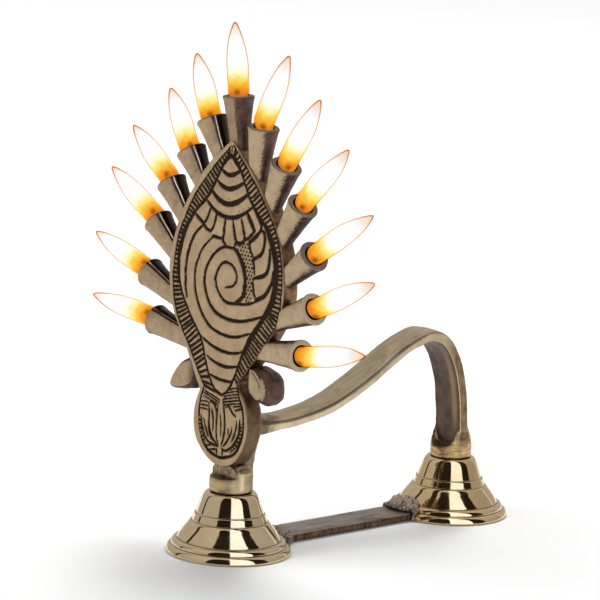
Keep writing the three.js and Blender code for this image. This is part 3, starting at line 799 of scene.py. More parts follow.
FIELD = [(-10.9, 64.6), (-12.5, 59.7), (-13, 54.7), (-12.7, 51.3), (-12.2, 48.5), (-11.3, 45.8), (-9.7, 43),
    (-7.7, 41), (-4.9, 39.7), (-1.3, 38.8), (1.4, 38.8), (3.9, 39.4), (7, 40.5), (9.8, 42.7), (11.4, 45.2),
    (12.8, 48), (13.4, 51.3), (13.4, 54.7), (12.6, 59.7), (10.1, 65), (8.6, 69.7)]
LOTUS = [
    (1.0, [(-1.9, 58.5), (-2.3, 54.1), (-2.4, 50.2), (-2, 46.3), (-1, 44.1)]),
    (0.7, [(-0.3, 56), (0.2, 52), (0.4, 47.4)]),
    (1.1, [(0.9, 61.5), (1.7, 58.6), (2.3, 55), (2.6, 51.3), (2, 46.9), (0.9, 43.5)]),
    (1.0, [(-7.4, 59.4), (-6.9, 55.5), (-6.9, 52.4), (-6.3, 49.1), (-4.9, 46.3), (-2.4, 44.1), (-1, 43.3)]),
    (0.9, [(-5.5, 56.9), (-4.7, 54.7), (-4.3, 52.4), (-4.4, 48.5)]),
    (0.9, [(-6.8, 59.9), (-4.6, 59.6), (-3.2, 58.2), (-2.4, 56)]),
    (1.0, [(-11.6, 53.5), (-11, 50.2), (-9.9, 47.4), (-8.3, 45), (-6, 43.5), (-0.8, 43)]),
    (1.0, [(-10.1, 52.4), (-8, 47.7), (-6.9, 45.8)]),
    (0.9, [(-7.4, 51.6), (-6.9, 49.1), (-5.5, 46), (-3.5, 44.4)]),
    (0.9, [(6.8, 51.9), (6.7, 50.2), (5.3, 47.4), (3.7, 45), (2, 43.5)]),
    (0.9, [(9.5, 55), (9.4, 52.4), (8.4, 49.1), (7, 46.3)]),
    (1.1, [(11.4, 55.8), (11.2, 52.4), (10.9, 49.7), (9.5, 46.9), (7.6, 44.4), (5.6, 43), (3.1, 41.9), (1.4, 42.4)]),
    (0.9, [(2.7, 59.2), (4.4, 59.9), (6.2, 58.4), (7.4, 57.2), (8.8, 56.6)]),
    (0.7, [(4.7, 50.9), (4.8, 48.8)]),
    (0.8, [(-1.6, 42), (-1.6, 39.6)]),
    (0.8, [(1.8, 42), (1.8, 39.6)]),
]
HATCH = [
    ((-9.9, 63.5), (-0.8, 61.3)), ((-10.4, 62.6), (-1, 60.2)), ((-10.8, 61.5), (-1.4, 59.1)),
    ((-12.2, 59.2), (-7.8, 59.4)), ((-12.4, 57.7), (-7.9, 57.9)), ((-12.6, 56.2), (-7.9, 56.4)),
    ((0.8, 62), (9.8, 64.4)), ((1.2, 60.9), (10.6, 63.3)), ((1.9, 60), (10.9, 62)), ((7.3, 60.2), (11.5, 61.1)),
    ((8.4, 58.9), (11.8, 60)), ((1.5, 63.3), (9.7, 65.6)), ((2.8, 64.8), (9.3, 66.8)), ((4, 66.3), (8.9, 68)),
    ((-8.3, 41.8), (-5.2, 42.7)), ((-6.3, 40.5), (-2.4, 41.5)),
]
BEADS = [(-12.4, 52.3), (-12.4, 50.6), (-12, 49.1), (-11.6, 47.5), (-10.9, 46), (-10, 44.6), (-9, 43.3), (12.6, 53.6),
    (12.6, 52.2), (12.3, 50.8), (11.8, 49.2), (11, 47.6), (10.1, 45.9), (9, 44.5), (7.7, 43.4), (6.4, 42.4)]


def shifted(points, dx):
    return [(x + dx, z) for x, z in points]


# The long lines: their points, width, depth and how much narrower they are at their ends

LONG_LINES = [
    (shifted(RIGHT_INNER[4:10], 1.2), 2.9, GROOVE_DEPTH, 0.5),
    (shifted(RIGHT_INNER[8:12], 0.9), 2.2, GROOVE_DEPTH, 0.3),
    (shifted(LEFT_INNER[4:8], -0.8), 1.7, 0.55, 0.6),
    (LEFT_INNER[:7], 1.65, GROOVE_DEPTH, 0.2),
    (LEFT_INNER[6:], 1.25, GROOVE_DEPTH, 0.2),
    (RIGHT_INNER, 1.4, GROOVE_DEPTH, 0.2),
    (TIP_ARCH, 2.0, GROOVE_DEPTH, 0.5),
    (LEFT_OUTER, 0.95, SHALLOW_DEPTH, 0.2),
    (RIGHT_OUTER, 0.95, SHALLOW_DEPTH, 0.2),
    (FIELD, 1.25, GROOVE_DEPTH, 0.1),
    (BEADS[:7], 2.0, GROOVE_DEPTH, 0.2),
    (BEADS[7:], 2.0, GROOVE_DEPTH, 0.2),
]


class Relief:
    """How deep the engraving is at each point of the plate's face, in millimetres."""

    AT_ONCE = 4000000  # distances measured in one go, to save memory

    def __init__(self, x, z):
        self.x, self.z = x, z
        self.depth = np.zeros(len(x))
        place = np.stack([x, 0 * x, z], axis=1)
        self.ragged = 0.10 * noise(place, 1.8, 71) + 0.10 * noise(place, 0.7, 72)

    def near(self, line, reach):
        low, high = line.min(axis=0) - reach, line.max(axis=0) + reach
        return np.flatnonzero((self.x > low[0]) & (self.x < high[0]) & (self.z > low[1]) & (self.z < high[1]))

    def groove(self, line, width, deep, taper):
        """Cuts a groove along a line of points, narrower towards its ends by the share taper."""
        line = np.asarray(line, float) - (STROKE_SHIFT, 0)
        index = self.near(line, width / 2 + 0.7)
        if not len(index):
            return
        share = along(line)
        half = width / 2 * (1 - taper * np.abs(2 * share / share[-1] - 1) ** 3)
        for part in np.array_split(index, len(index) * len(line) // self.AT_ONCE + 1):
            gap = np.hypot(self.x[part, None] - line[None, :, 0], self.z[part, None] - line[None, :, 1]) - half
            gap = gap.min(axis=1) + self.ragged[part]
            cut = deep * smoothstep(-gap, -0.14, min(0.3, width * 0.4))
            self.depth[part] = np.maximum(self.depth[part], cut)

    def around(self, x, z, reach):
        """The points within reach of a place, and how far off they are."""
        index = self.near(np.array([(x, z)], float), reach)
        return index, np.hypot(self.x[index] - x, self.z[index] - z)

    def bead(self, x, z):
        """Leaves a raised bead standing in a sunk ground."""
        index, away = self.around(x - STROKE_SHIFT, z, BEAD_RADIUS + 0.4)
        ground = GROOVE_DEPTH * smoothstep(away, BEAD_RADIUS - 0.12, BEAD_RADIUS + 0.22)
        self.depth[index] = np.minimum(self.depth[index], ground)

    def pit(self, x, z, radius):
        index, away = self.around(x, z, radius + 0.3)
        self.depth[index] = np.maximum(self.depth[index], 0.3 * smoothstep(-away, -radius - 0.1, 0.1 - radius))


def rungs(outer, inner, sign):
    """The gaps between the rungs of a border: lines from its outer edge, square to it, to its inner one."""
    outer, inner = curve(outer, 0.1), curve(inner, 0.1)
    travel = along(outer)
    tangent = tangents(outer)
    gaps = []
    for k, s in enumerate(np.arange(1.2, travel[-1] + 0.5, RUNG_PITCH)):
        s += 0.22 * math.sin(2.7 * k) * math.cos(1.3 * k + sign)
        i = min(np.searchsorted(travel, s), len(outer) - 1)
        start = outer[i]
        square = np.array([sign * tangent[i, 1], -sign * tangent[i, 0]])
        level = np.array([-sign * math.cos(0.2), -math.sin(0.2)]) if sign < 0 else square
        way = mix(square, level, smoothstep(-start[1], -73, -65))
        way /= np.linalg.norm(way)
        offset = inner - start
        ahead = offset @ way
        aside = np.abs(offset[:, 0] * way[1] - offset[:, 1] * way[0])
        hit = np.where((ahead > 0.4) & (ahead < 11), aside, 99).argmin()
        gaps.append((start, inner[hit]))
    return gaps


def relief(x, z):
    """The plate's engraving."""
    cut = Relief(x, z)
    for outer, inner, sign in ((LEFT_OUTER, LEFT_INNER, -1), (RIGHT_OUTER, RIGHT_INNER, 1)):
        for start, end in rungs(outer, inner, sign):
            cut.groove(bent(start, (start + end) / 2, end), RUNG_GAP, SHALLOW_DEPTH, 0.1)
    for line, width, deep, taper in LONG_LINES:
        cut.groove(curve(line, STROKE_STEP), width, deep, taper)
    for px in (-1.7, 0.1, 1.9):
        line = bent((px, 161.4 - abs(px)), (px * 0.95, 160 - abs(px)), (px * 0.9, 158.2))
        cut.groove(line, 0.9, SHALLOW_DEPTH, 0.1)
    for start, middle, end, width in BOWS:
        cut.groove(bent(start, middle, end), width + BOW_GAIN, GROOVE_DEPTH, 0.45)
    for width, line in PETALS + COIL + LOBES:
        cut.groove(curve(line, STROKE_STEP), width + FIGURE_GAIN, GROOVE_DEPTH, 0.35)
    for width, line in LOTUS:
        cut.groove(curve(line, 0.2), width + LOTUS_GAIN, GROOVE_DEPTH, 0.4)
    for start, end in HATCH:
        middle = (np.array(start) + end) / 2 + (0, 0.12)
        cut.groove(bent(start, middle, end), 0.85, 0.55, 0.2)

    net = inside(x, z, NET)
    rise = NET_PITCH * 0.87
    row = np.floor(z / rise)
    hx = ((x + (row % 2) * NET_PITCH / 2) / NET_PITCH) % 1 - 0.5
    hz = (z / rise) % 1 - 0.5
    away = np.hypot(hx * NET_PITCH, hz * rise) + cut.ragged * 0.8
    holes = SHALLOW_DEPTH * smoothstep(-away, -NET_HOLE - 0.1, 0.1 - NET_HOLE)
    cut.depth[net] = np.maximum(cut.depth[net], holes[net])

    for px, pz in BEADS:
        cut.bead(px, pz)
    spread = np.random.default_rng(7)
    for px, pz in [(-0.3, 155), (-0.3, 141), (5.8, 137), (8.3, 137.8)]:
        cut.pit(px, pz, 0.3)
    for px, pz in zip(spread.uniform(-30, 30, 110), spread.uniform(66, 158, 110)):
        cut.pit(px, pz, spread.uniform(0.08, 0.24))
    for px, pz in spread.normal((13.5, 128.5), (2.2, 1.9), (26, 2)):
        cut.pit(px, pz, 0.22)
    for px, pz in spread.normal((-6.3, 125), (2, 0.35), (9, 2)):
        cut.pit(px, pz, 0.3)
    return cut.depth


def add_plate():
    left, right = edge_lines()
    rows = plate_rows(left, right)
    low, high = (np.array(corner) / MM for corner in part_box("front_plate"))
    columns, wall, behind = FACE_COLUMNS, WALL_COLUMNS, BACK_COLUMNS
    xl = np.interp(rows, left[:, 1], left[:, 0])[:, None]
    xr = np.interp(rows, right[:, 1], right[:, 0])[:, None]
    even = (1 - np.cos(np.linspace(0, np.pi, columns + 1))) / 2
    across = mix(np.linspace(0, 1, columns + 1), even, 0.35)[None, :]
    fx = xl + (xr - xl) * across
    fz = np.repeat(rows[:, None], columns + 1, axis=1)
    tree = KDTree(len(left) + len(right))
    for i, (px, pz) in enumerate(np.vstack([right, left])):
        tree.insert((px, pz, 0), i)
    tree.balance()
    distance = np.array([tree.find((px, pz, 0))[2] for px, pz in zip(fx.ravel(), fz.ravel())])
    depth = relief(fx.ravel(), fz.ravel())
    face = np.stack([fx.ravel(), np.zeros(fx.size), fz.ravel()], axis=1)
    bend = mix(PLATE_ROUNDING, PLATE_SIDE_ROUNDING, smoothstep(fx.ravel(), 1, 8))
    shelf = np.minimum(distance, bend)
    round_off = bend - np.sqrt(bend**2 - (bend - shelf) ** 2)
    worn = 0.05 * (1 + noise(face, 6, 11, 2)) + 0.02 * (1 + noise(face, 1.1, 12))
    fy = low[1] + 0.02 + depth + round_off + worn
    front = np.stack([fx.ravel(), fy, fz.ravel()], axis=1).reshape(len(rows), columns + 1, 3)

    rounding = PLATE_BACK_ROUNDING
    back_share = np.linspace(1, 0, behind + 1)
    bx = xl + (xr - xl) * back_share[None, :]
    edge = np.clip(np.minimum(bx - xl, xr - bx), 0, rounding)
    by = high[1] - (rounding - np.sqrt(rounding**2 - (rounding - edge) ** 2)) - 0.03
    bz = np.repeat(rows[:, None], behind + 1, axis=1)
    back = np.stack([bx, by, bz], axis=2)
    back[:, :, 1] -= 0.12 * (1 + noise(back.reshape(-1, 3), 5, 13, 3)).reshape(bx.shape)

    def wall_points(start, end):
        t = np.linspace(0, 1, wall + 2)[1:-1][None, :, None]
        return start[:, None, :] + (end - start)[:, None, :] * t

    right_wall = wall_points(front[:, -1], back[:, 0])
    left_wall = wall_points(back[:, -1], front[:, 0])
    for one, sign in ((right_wall, 1), (left_wall, -1)):
        wear = 0.07 * (1 + noise(one.reshape(-1, 3), 2.6, 14, 3)).reshape(one.shape[:2])
        one[:, :, 0] -= sign * wear
    ring = np.concatenate([front, right_wall, back, left_wall], axis=1)
    points, faces = ring_stack(ring)

    patina = np.zeros(ring.shape[:2])
    patina[:, : columns + 1] = smoothstep(depth, 0.10, 0.32).reshape(fx.shape)
    patina[:, columns + 1 + wall : -wall] = 0.35
    sides = np.ones(ring.shape[:2])
    sides[:, : columns + 1] = smoothstep(-distance / bend, -0.55, -0.2).reshape(fx.shape)
    sides[:, columns + 1 + wall : -wall] = 0
    tone = np.repeat(mix(0.12, 0.26, smoothstep(rows, 55, 110))[:, None], ring.shape[1], axis=1)
    # A painted highlight along the grooves' edges, added to the tone.
    lips = hump(depth, 0.055, 0.04) * smoothstep(noise(face, 1.6, 15, 2), -0.5, 0.3)
    tone[:, : columns + 1] += 0.55 * (lips * (depth > 0.01)).reshape(fx.shape)
    mesh = new_mesh("plate", points, faces, weld=False)
    layers = {"patina": patina, "wall": sides, "tone": tone}
    set_attributes(mesh, **{name: np.append(values, [0.3, 0.3]) for name, values in layers.items()})
    return piece("plate", mesh, plate_brass(), "plate_brass", "front_plate")


# Sockets, wicks and flames


def socket_places():
    return [f"{side}_{i}" for side in ("left", "right") for i in range(1, 7)] + ["top"]


def socket_axis(place):
    """The middle of the socket's mouth, its direction and its length, from the CAD nodes."""
    wick = cad_points(f"wick_{place}")
    middle = (wick.min(0) + wick.max(0)) / 2
    _, _, directions = np.linalg.svd(wick - wick.mean(0))
    axis = directions[0]
    socket = cad_points(f"socket_{place}")
    flame = cad_points(f"flame_{place}")
    if (flame.mean(0) - middle) @ axis < 0:
        axis = -axis
    reach = (socket - middle) @ axis
    return middle + axis * reach.max(), axis, reach.max() - reach.min()


def axis_frame(axis):
    """A turn that takes Z to the axis and keeps -Y in front."""
    z = axis / np.linalg.norm(axis)
    y = np.array([0.0, 1.0, 0.0])
    y = y - z * (y @ z)
    y /= np.linalg.norm(y)
    return np.stack([np.cross(y, z), y, z], axis=1)


# How far round the pale ground front of a socket reaches in degrees, how ragged its edge is, and its tone

SOCKET_FRONTS = {"right": (54, 22, 0.5), "left": (47, 4, 0.25), "top": (30, 18, -0.12)}
BRIGHT_MOUTHS = ("right_1", "right_2")


def add_socket(place, seed, material):
    mouth, axis, length = socket_axis(place)
    bottom = -length - SOCKET_SEAT
    root = SOCKET_ROOT + 0.3
    profile = [
        (0, bottom), (root + 0.2, bottom), (root + 0.3, -length + 1.5),
        (SOCKET_MOUTH - 1.3, -length * 0.45), (SOCKET_MOUTH - 0.45, -2.2), (SOCKET_MOUTH, -0.7),
        (SOCKET_MOUTH - 0.25, 0), (SOCKET_BORE + 0.2, 0), (SOCKET_BORE, -0.5), (SOCKET_BORE, 1 - SOCKET_DEPTH),
        (SOCKET_BORE - 1, -SOCKET_DEPTH), (0, -SOCKET_DEPTH),
    ]
    dense = [profile[0]]
    for a, b in zip(profile, profile[1:]):
        count = max(1, int(math.dist(a, b) / 0.6))
        dense += [tuple(mix(np.array(a, float), np.array(b, float), (i + 1) / count)) for i in range(count)]
    points, faces = revolve(rounded(dense, 0.25, 2), 144)
    x, y, z = points.T.copy()
    radius = np.hypot(x, y)
    outer = (radius > SOCKET_BORE + 0.1) | (z < -SOCKET_DEPTH - 0.5)
    rim = outer & (z > -0.35)
    round_front = np.degrees(np.arctan2(np.abs(x), -y))
    reach, ragged, tone = SOCKET_FRONTS[place.split("_")[0]]
    facet = smoothstep(reach - round_front, -ragged, ragged) * outer
    facet = np.where(rim, 1.0 if place in BRIGHT_MOUTHS else 0.0, facet)
    bore = (radius < SOCKET_BORE + 0.15) & (z > -SOCKET_DEPTH - 0.1)
    # Darker deeper in the bore.
    soot = smoothstep(z, -2, -6) * bore
    # A painted highlight lightens the rim.
    burnish = 0.18 * rim
    smooth = 0
    if place.startswith("left"):
        side = outer & ~rim & (x > 0)
        wander = round_front + 2.2 * noise(points + seed * 13, 3, seed)
        # A painted highlight runs down each left socket's side, where a bright strip would be reflected.
        burnish = 0.8 * hump(wander, 61, 2.2) * side
        # Painted dark reflection on the left sockets' sides: a thin dark line before the highlight, near black beyond
        # it.
        soot = np.maximum(soot, 0.85 * smoothstep(wander, 49, 51) * (1 - hump(wander, 61, 3)) * side)
        smooth = side & (round_front > 50)

    flat = -mix(2.95, 5.2, smoothstep(z, -length, -1))
    over = flat - y
    soft = (over + np.sqrt(over**2 + 0.5)) / 2 * smoothstep(z, -0.4, -4)
    front = y + soft * smoothstep(-y, 0, 1.5)
    over_bore = -np.sqrt(np.maximum(0, (SOCKET_BORE + 0.4) ** 2 - x**2))
    front = np.where((y < 0) & (z > -SOCKET_DEPTH - 0.8), np.minimum(front, over_bore), front)
    points[:, 1] = np.where(outer, front, y)
    shift = np.minimum(1 + 0.03 * noise(points + seed * 31, 5, seed), 1)
    points[:, :2] *= np.where(outer, shift, 1)[:, None]
    mesh = new_mesh(f"socket_{place}", points @ axis_frame(axis).T + mouth, faces)
    set_attributes(mesh, facet=facet, soot=soot, burnish=burnish, smooth=smooth, tone=tone)
    return piece(f"cast_socket_{place}", mesh, material, "socket_brass", f"socket_{place}")


def add_wick(place, seed, material):
    mouth, axis, _ = socket_axis(place)
    wick = cad_points(f"wick_{place}")
    reach = (wick - mouth) @ axis
    bottom, top = reach.min(), reach.max()
    heights = np.linspace(bottom, top, 26)
    profile = [(0, bottom)] + [(WICK_RADIUS * (1 - 0.25 * smoothstep(h, top - 2.5, top)), h) for h in heights]
    points, faces = revolve(profile + [(0, top)], 40)
    twist = np.arctan2(points[:, 1], points[:, 0]) * 5 + points[:, 2] * 2.2
    points[:, :2] *= (1 - 0.08 * (1 + np.sin(twist)) / 2)[:, None]
    points[:, :2] *= (1 - 0.06 * (1 + noise(points + seed * 17, 0.9, seed)))[:, None]
    mesh = new_mesh(f"wick_{place}", points @ axis_frame(axis).T + mouth, faces)
    return piece(f"cotton_wick_{place}", mesh, material, "cotton_wick", f"wick_{place}")


def add_flame(place, seed, materials):
    """A flame that fills the bore, swells and comes to a tip: a thin skin round a glowing core."""
    mouth, axis, _ = socket_axis(place)
    points = cad_points(f"flame_{place}")
    tip = points[np.linalg.norm(points - mouth, axis=1).argmax()]
    base = mouth + axis * FLAME_BEND
    direction = tip - base
    length = np.linalg.norm(direction)
    shape = [
        (-FLAME_SUNK, 0), (-3.45, 3.5), (-3.2, 3.9), (-2.6, 4.05), (-1.6, 4.25), (0.08 * length, 4.2),
        (0.2 * length, 4.25), (0.36 * length, 4.3), (0.56 * length, 3.85), (0.75 * length, 2.85),
        (0.9 * length, 1.55), (0.97 * length, 0.7), (length - 0.1, 0),
    ]
    line = curve(shape, 0.5)
    line[:, 1] = np.clip(line[:, 1], 0, 4.32)
    line[0, 1] = line[-1, 1] = 0
    turn = axis_frame(direction)
    shells, heights, chars = [], [], []
    for inset in (0, FLAME_SKIN):
        radii = np.maximum(line[:, 1] - inset, 0)
        stem = mix(line[:, 0], length * 0.42, inset * 0.055)
        keep = radii > 0.02
        profile = [(0, stem[keep][0] - 0.05)] + list(zip(radii[keep], stem[keep])) + [(0, stem[keep][-1] + 0.05)]
        p, f = revolve(profile, 40)
        heights.append((p[:, 2] + FLAME_SUNK) / (length + FLAME_SUNK))
        strands = np.cos(3 * (np.arctan2(p[:, 0], -p[:, 1]) - CHAR_TURN) + 0.5 * math.sin(seed * 2.1))
        chars.append(0.8 * smoothstep(strands, 0.35, 1) * hump(heights[-1], 0.08, 0.04))
        sway = 0.18 * np.sin(p[:, 2] / length * 5 + seed)
        p[:, 0] += sway * smoothstep(p[:, 2], 0, length * 0.5) * smoothstep(-p[:, 2], -length, -length * 0.7)
        middle = base + np.where(p[:, 2:] < 0, axis * p[:, 2:], direction / length * p[:, 2:])
        shells.append((p[:, :2] @ turn[:, :2].T + middle, f))
    mesh = new_mesh(f"flame_{place}", *joined(*shells), weld=False)
    set_attributes(mesh, height=np.concatenate(heights), char=np.concatenate(chars))
    made = piece(f"lit_flame_{place}", mesh, materials, "flame", f"flame_{place}")
    skin_faces = len(shells[0][1])
    for polygon in mesh.polygons[skin_faces:]:
        polygon.material_index = 1
    made.visible_shadow = made.visible_glossy = made.visible_diffuse = False
    return made


# The buds' outlines at their widest and the edges of their flat fronts: (x, height above the floor)

BUDS = {
    "left": (
        [(-18, 75.6), (-22, 74.9), (-26.9, 72.5), (-30.4, 68.3), (-32.5, 63.8), (-32.9, 61), (-31.2, 60.6),
            (-25, 61.2), (-18, 62.6), (-15, 66)],
        [(-18.6, 74.6), (-21, 73.7), (-25.7, 71.6), (-29.1, 67.7), (-31.4, 63.7), (-31.3, 62.1), (-28, 62),
            (-22, 63.4), (-19.4, 65.3), (-17, 69)],
    ),
    "right": (
        [(18, 78.2), (21, 77.4), (24.5, 76.4), (27.6, 73.8), (28.1, 69.6), (27.8, 65.4), (25.3, 63.2),
            (21.8, 63.1), (17.8, 64), (13.2, 65.6), (11.5, 69), (12.5, 74.8)],
        [(15.6, 76.9), (18.6, 76.4), (21.2, 74.2), (22.6, 69.6), (22.4, 66.2), (20.6, 65.2), (17.2, 67.2),
            (15.4, 72.4)],
    ),
}
BUD_SHADE = {"left": (22, 17), "right": (17, 13)}  # how far out from the middle the painted shade begins and is full
BUD_TONE = {"left": 0.2, "right": 0.35}


def add_bud(side, material):
    """A blunt bud under the lowest socket, ground flat in front, with painted shade."""
    full, flat = (np.array(outline, float) for outline in BUDS[side])
    front, back = (corner[1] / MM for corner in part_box(f"bud_lug_{side}"))
    middle = full.mean(axis=0)
    turns = np.linspace(-np.pi, np.pi, 72, endpoint=False)

    def ring(outline, y, scale=1.0):
        closed = rounded(np.vstack([outline, outline[:1]]), 0.8)
        closed = np.vstack([mix(a, b, t) for a, b in zip(closed, closed[1:]) for t in np.linspace(0, 1, 5)[:-1]])
        offset = closed - middle
        angles = np.arctan2(offset[:, 1], offset[:, 0])
        order = angles.argsort()
        reach = np.interp(turns, angles[order], np.hypot(*offset.T)[order], period=2 * np.pi) * scale
        x, z = middle[0] + reach * np.cos(turns), middle[1] + reach * np.sin(turns)
        return np.stack([x, np.full(len(turns), y), z], axis=1)

    face = front + 1.1
    rings = [ring(flat, face)]
    for share in (0.35, 0.7, 1):
        rings.append(mix(ring(flat, 0), ring(full, 0), math.sqrt(share)) + (0, face + 0.3 + 2.4 * share, 0))
    for y, scale in ((-1.2, 1), (2, 0.98), (4, 0.88), (5.4, 0.66), (5.9, 0.35)):
        rings.append(ring(full, (front + back) / 2 + y, scale))
    mesh = fused(f"bud_lug_{side}", [ring_stack(rings)], 0.28, 2)
    roughen(mesh, (3, 0.2, 21), (1.0, 0.08, 22))
    points, normals = mesh_points(mesh), mesh_normals(mesh)
    forward = smoothstep(-normals[:, 1], 0.78, 0.93)
    ground = forward * smoothstep(-points[:, 1], -face - 1.1, -face - 0.5)
    ground *= smoothstep(noise(points + 9, 2.2, 23, 3), -0.75, -0.45)
    crease = np.zeros(len(points))
    if side == "right":
        line = curve([(17, 75.8), (19.2, 74.3), (21.2, 71.8), (21.9, 70.6)], 0.2)
        gap = np.hypot(points[:, None, 0] - line[None, :, 0], points[:, None, 2] - line[None, :, 1]).min(axis=1)
        crease = hump(gap, 0, 0.4) * (points[:, 1] < face + 2)
        set_points(mesh, points - normals * 0.3 * crease[:, None])
    # Painted shade towards the plate, under the left bud and along the right bud's crease.
    outer, inner = BUD_SHADE[side]
    shade = 0.8 * smoothstep(-np.abs(points[:, 0]), -outer, -inner)
    under = 0.75 * smoothstep(-normals[:, 2], 0.3, 0.75) * (side == "left")
    soot = np.maximum.reduce([0.85 * crease, shade, under])
    set_attributes(mesh, facet=ground, soot=soot, burnish=0, smooth=0.3, tone=BUD_TONE[side])
    return piece(f"bud_{side}", mesh, material, "socket_brass", f"bud_lug_{side}")


# The stem under the plate, and the handle


def add_stem(material):
    low, high = (np.array(c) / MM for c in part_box("front_stem"))
    plate_low, plate_high = (np.array(c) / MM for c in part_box("front_plate"))
    top = plate_low[2] - 0.7
    scoop_floor = low[2] + SCOOP_FLOOR
    turns = full_turn(96)
    collar = []
    for h in np.linspace(SEAT, top, 30):
        radius = COLLAR_RADIUS - 0.05 - 0.35 * smoothstep(h, SEAT + 0.6, SEAT)
        radius -= 1.4 * smoothstep(h, top - 2.2, top)
        x, y = radius * np.cos(turns), radius * np.sin(turns)
        cut = mix(-20, -SCOOP_DEPTH, smoothstep(h, scoop_floor - 0.7, scoop_floor + 0.5))
        collar.append(level_ring(x, np.maximum(y, cut) + FRONT_Y, h))
    neck = []
    for h in np.linspace(scoop_floor - 3, high[2] - 0.1, 40):
        behind = smoothstep(h, plate_low[2] + 0.2, plate_low[2] + 1)
        front = mix(FRONT_Y - SCOOP_DEPTH, plate_high[1] - 1.4, behind)
        back = mix(FRONT_Y + NECK_BACK, high[1] - 0.1, smoothstep(h, 37, 44))
        x, y = squircle(NECK_HALF_WIDTH, (back - front) / 2, 3, turns)
        neck.append(level_ring(x, y + (front + back) / 2, h))
    mesh = fused("stem", [ring_stack(collar), ring_stack(neck)], 0.33, 5)
    roughen(mesh, (4, 0.35, 31), (1.2, 0.18, 32))
    points, normals = mesh_points(mesh), mesh_normals(mesh)
    x, y, z = points[:, 0], points[:, 1] - FRONT_Y, points[:, 2]
    scoop = smoothstep(z, scoop_floor - 0.9, scoop_floor + 0.3) * smoothstep(y, -3, -3.9)
    scale = scoop * (noise(points, 2.2, 33, 3) - 0.6)
    set_points(mesh, points + normals * np.minimum(0.55 * scale, 0)[:, None])
    seam = smoothstep(z, SEAT + 0.9, SEAT + 0.4)
    # Painted shade in the scoop, under the plate and up the neck.
    under = smoothstep(z, plate_low[2] - 2, plate_low[2] + 1) * smoothstep(y, 2, -2)
    under = np.maximum(under, 0.6 * smoothstep(z, scoop_floor + 2, scoop_floor + 5))
    recess = np.clip(0.7 * scoop + under, 0, 0.92)
    # A painted reflection streak down the collar and a painted highlight on the scoop's right wall.
    turn = np.degrees(np.arctan2(x, -y))
    shine = hump(turn, 79, 7) * smoothstep(z, low[2] + 0.6, low[2] + 1.6)
    shine *= smoothstep(z, scoop_floor + 3, scoop_floor)
    ledge = hump(y, -4.2, 0.45) * (x > 4) * smoothstep(z, scoop_floor - 0.5, scoop_floor + 1)
    set_attributes(mesh, recess=recess, seam=0.9 * seam, burnish=0.7 * np.maximum(shine, ledge))
    return piece("stem", mesh, material, "cast_brass", "front_stem")


HANDLE_ROUTE = [(0, 0.655), (0.07, 0.652), (0.147, 0.648), (0.261, 0.662), (0.392, 0.706), (0.539, 0.806),
    (0.686, 0.936), (0.768, 0.985), (0.833, 1), (0.89, 0.967), (0.94, 0.877), (0.975, 0.742), (0.993, 0.588),
    (1, 0.435)]
STRAP_CREASE = (0.12, 0.42)  # the crease over the strap's middle, low down and on the arch, in thicknesses


def strap_section(crease):
    """The strap's section as (across, lift): flat below, crowned above, with a crease along each side."""
    half = HANDLE_WIDTH / 2
    crown = [(x, crease + (0.5 - crease) * (1 - (x / half) ** 2)) for x in np.linspace(half - 0.3, 0.3 - half, 25)]
    corners = [(-half + 0.3, -0.5), (half - 0.3, -0.5), (half, -0.44), (half, crease - 0.03)]
    return np.array(corners + crown + [(-half, crease - 0.03), (-half, -0.44)])


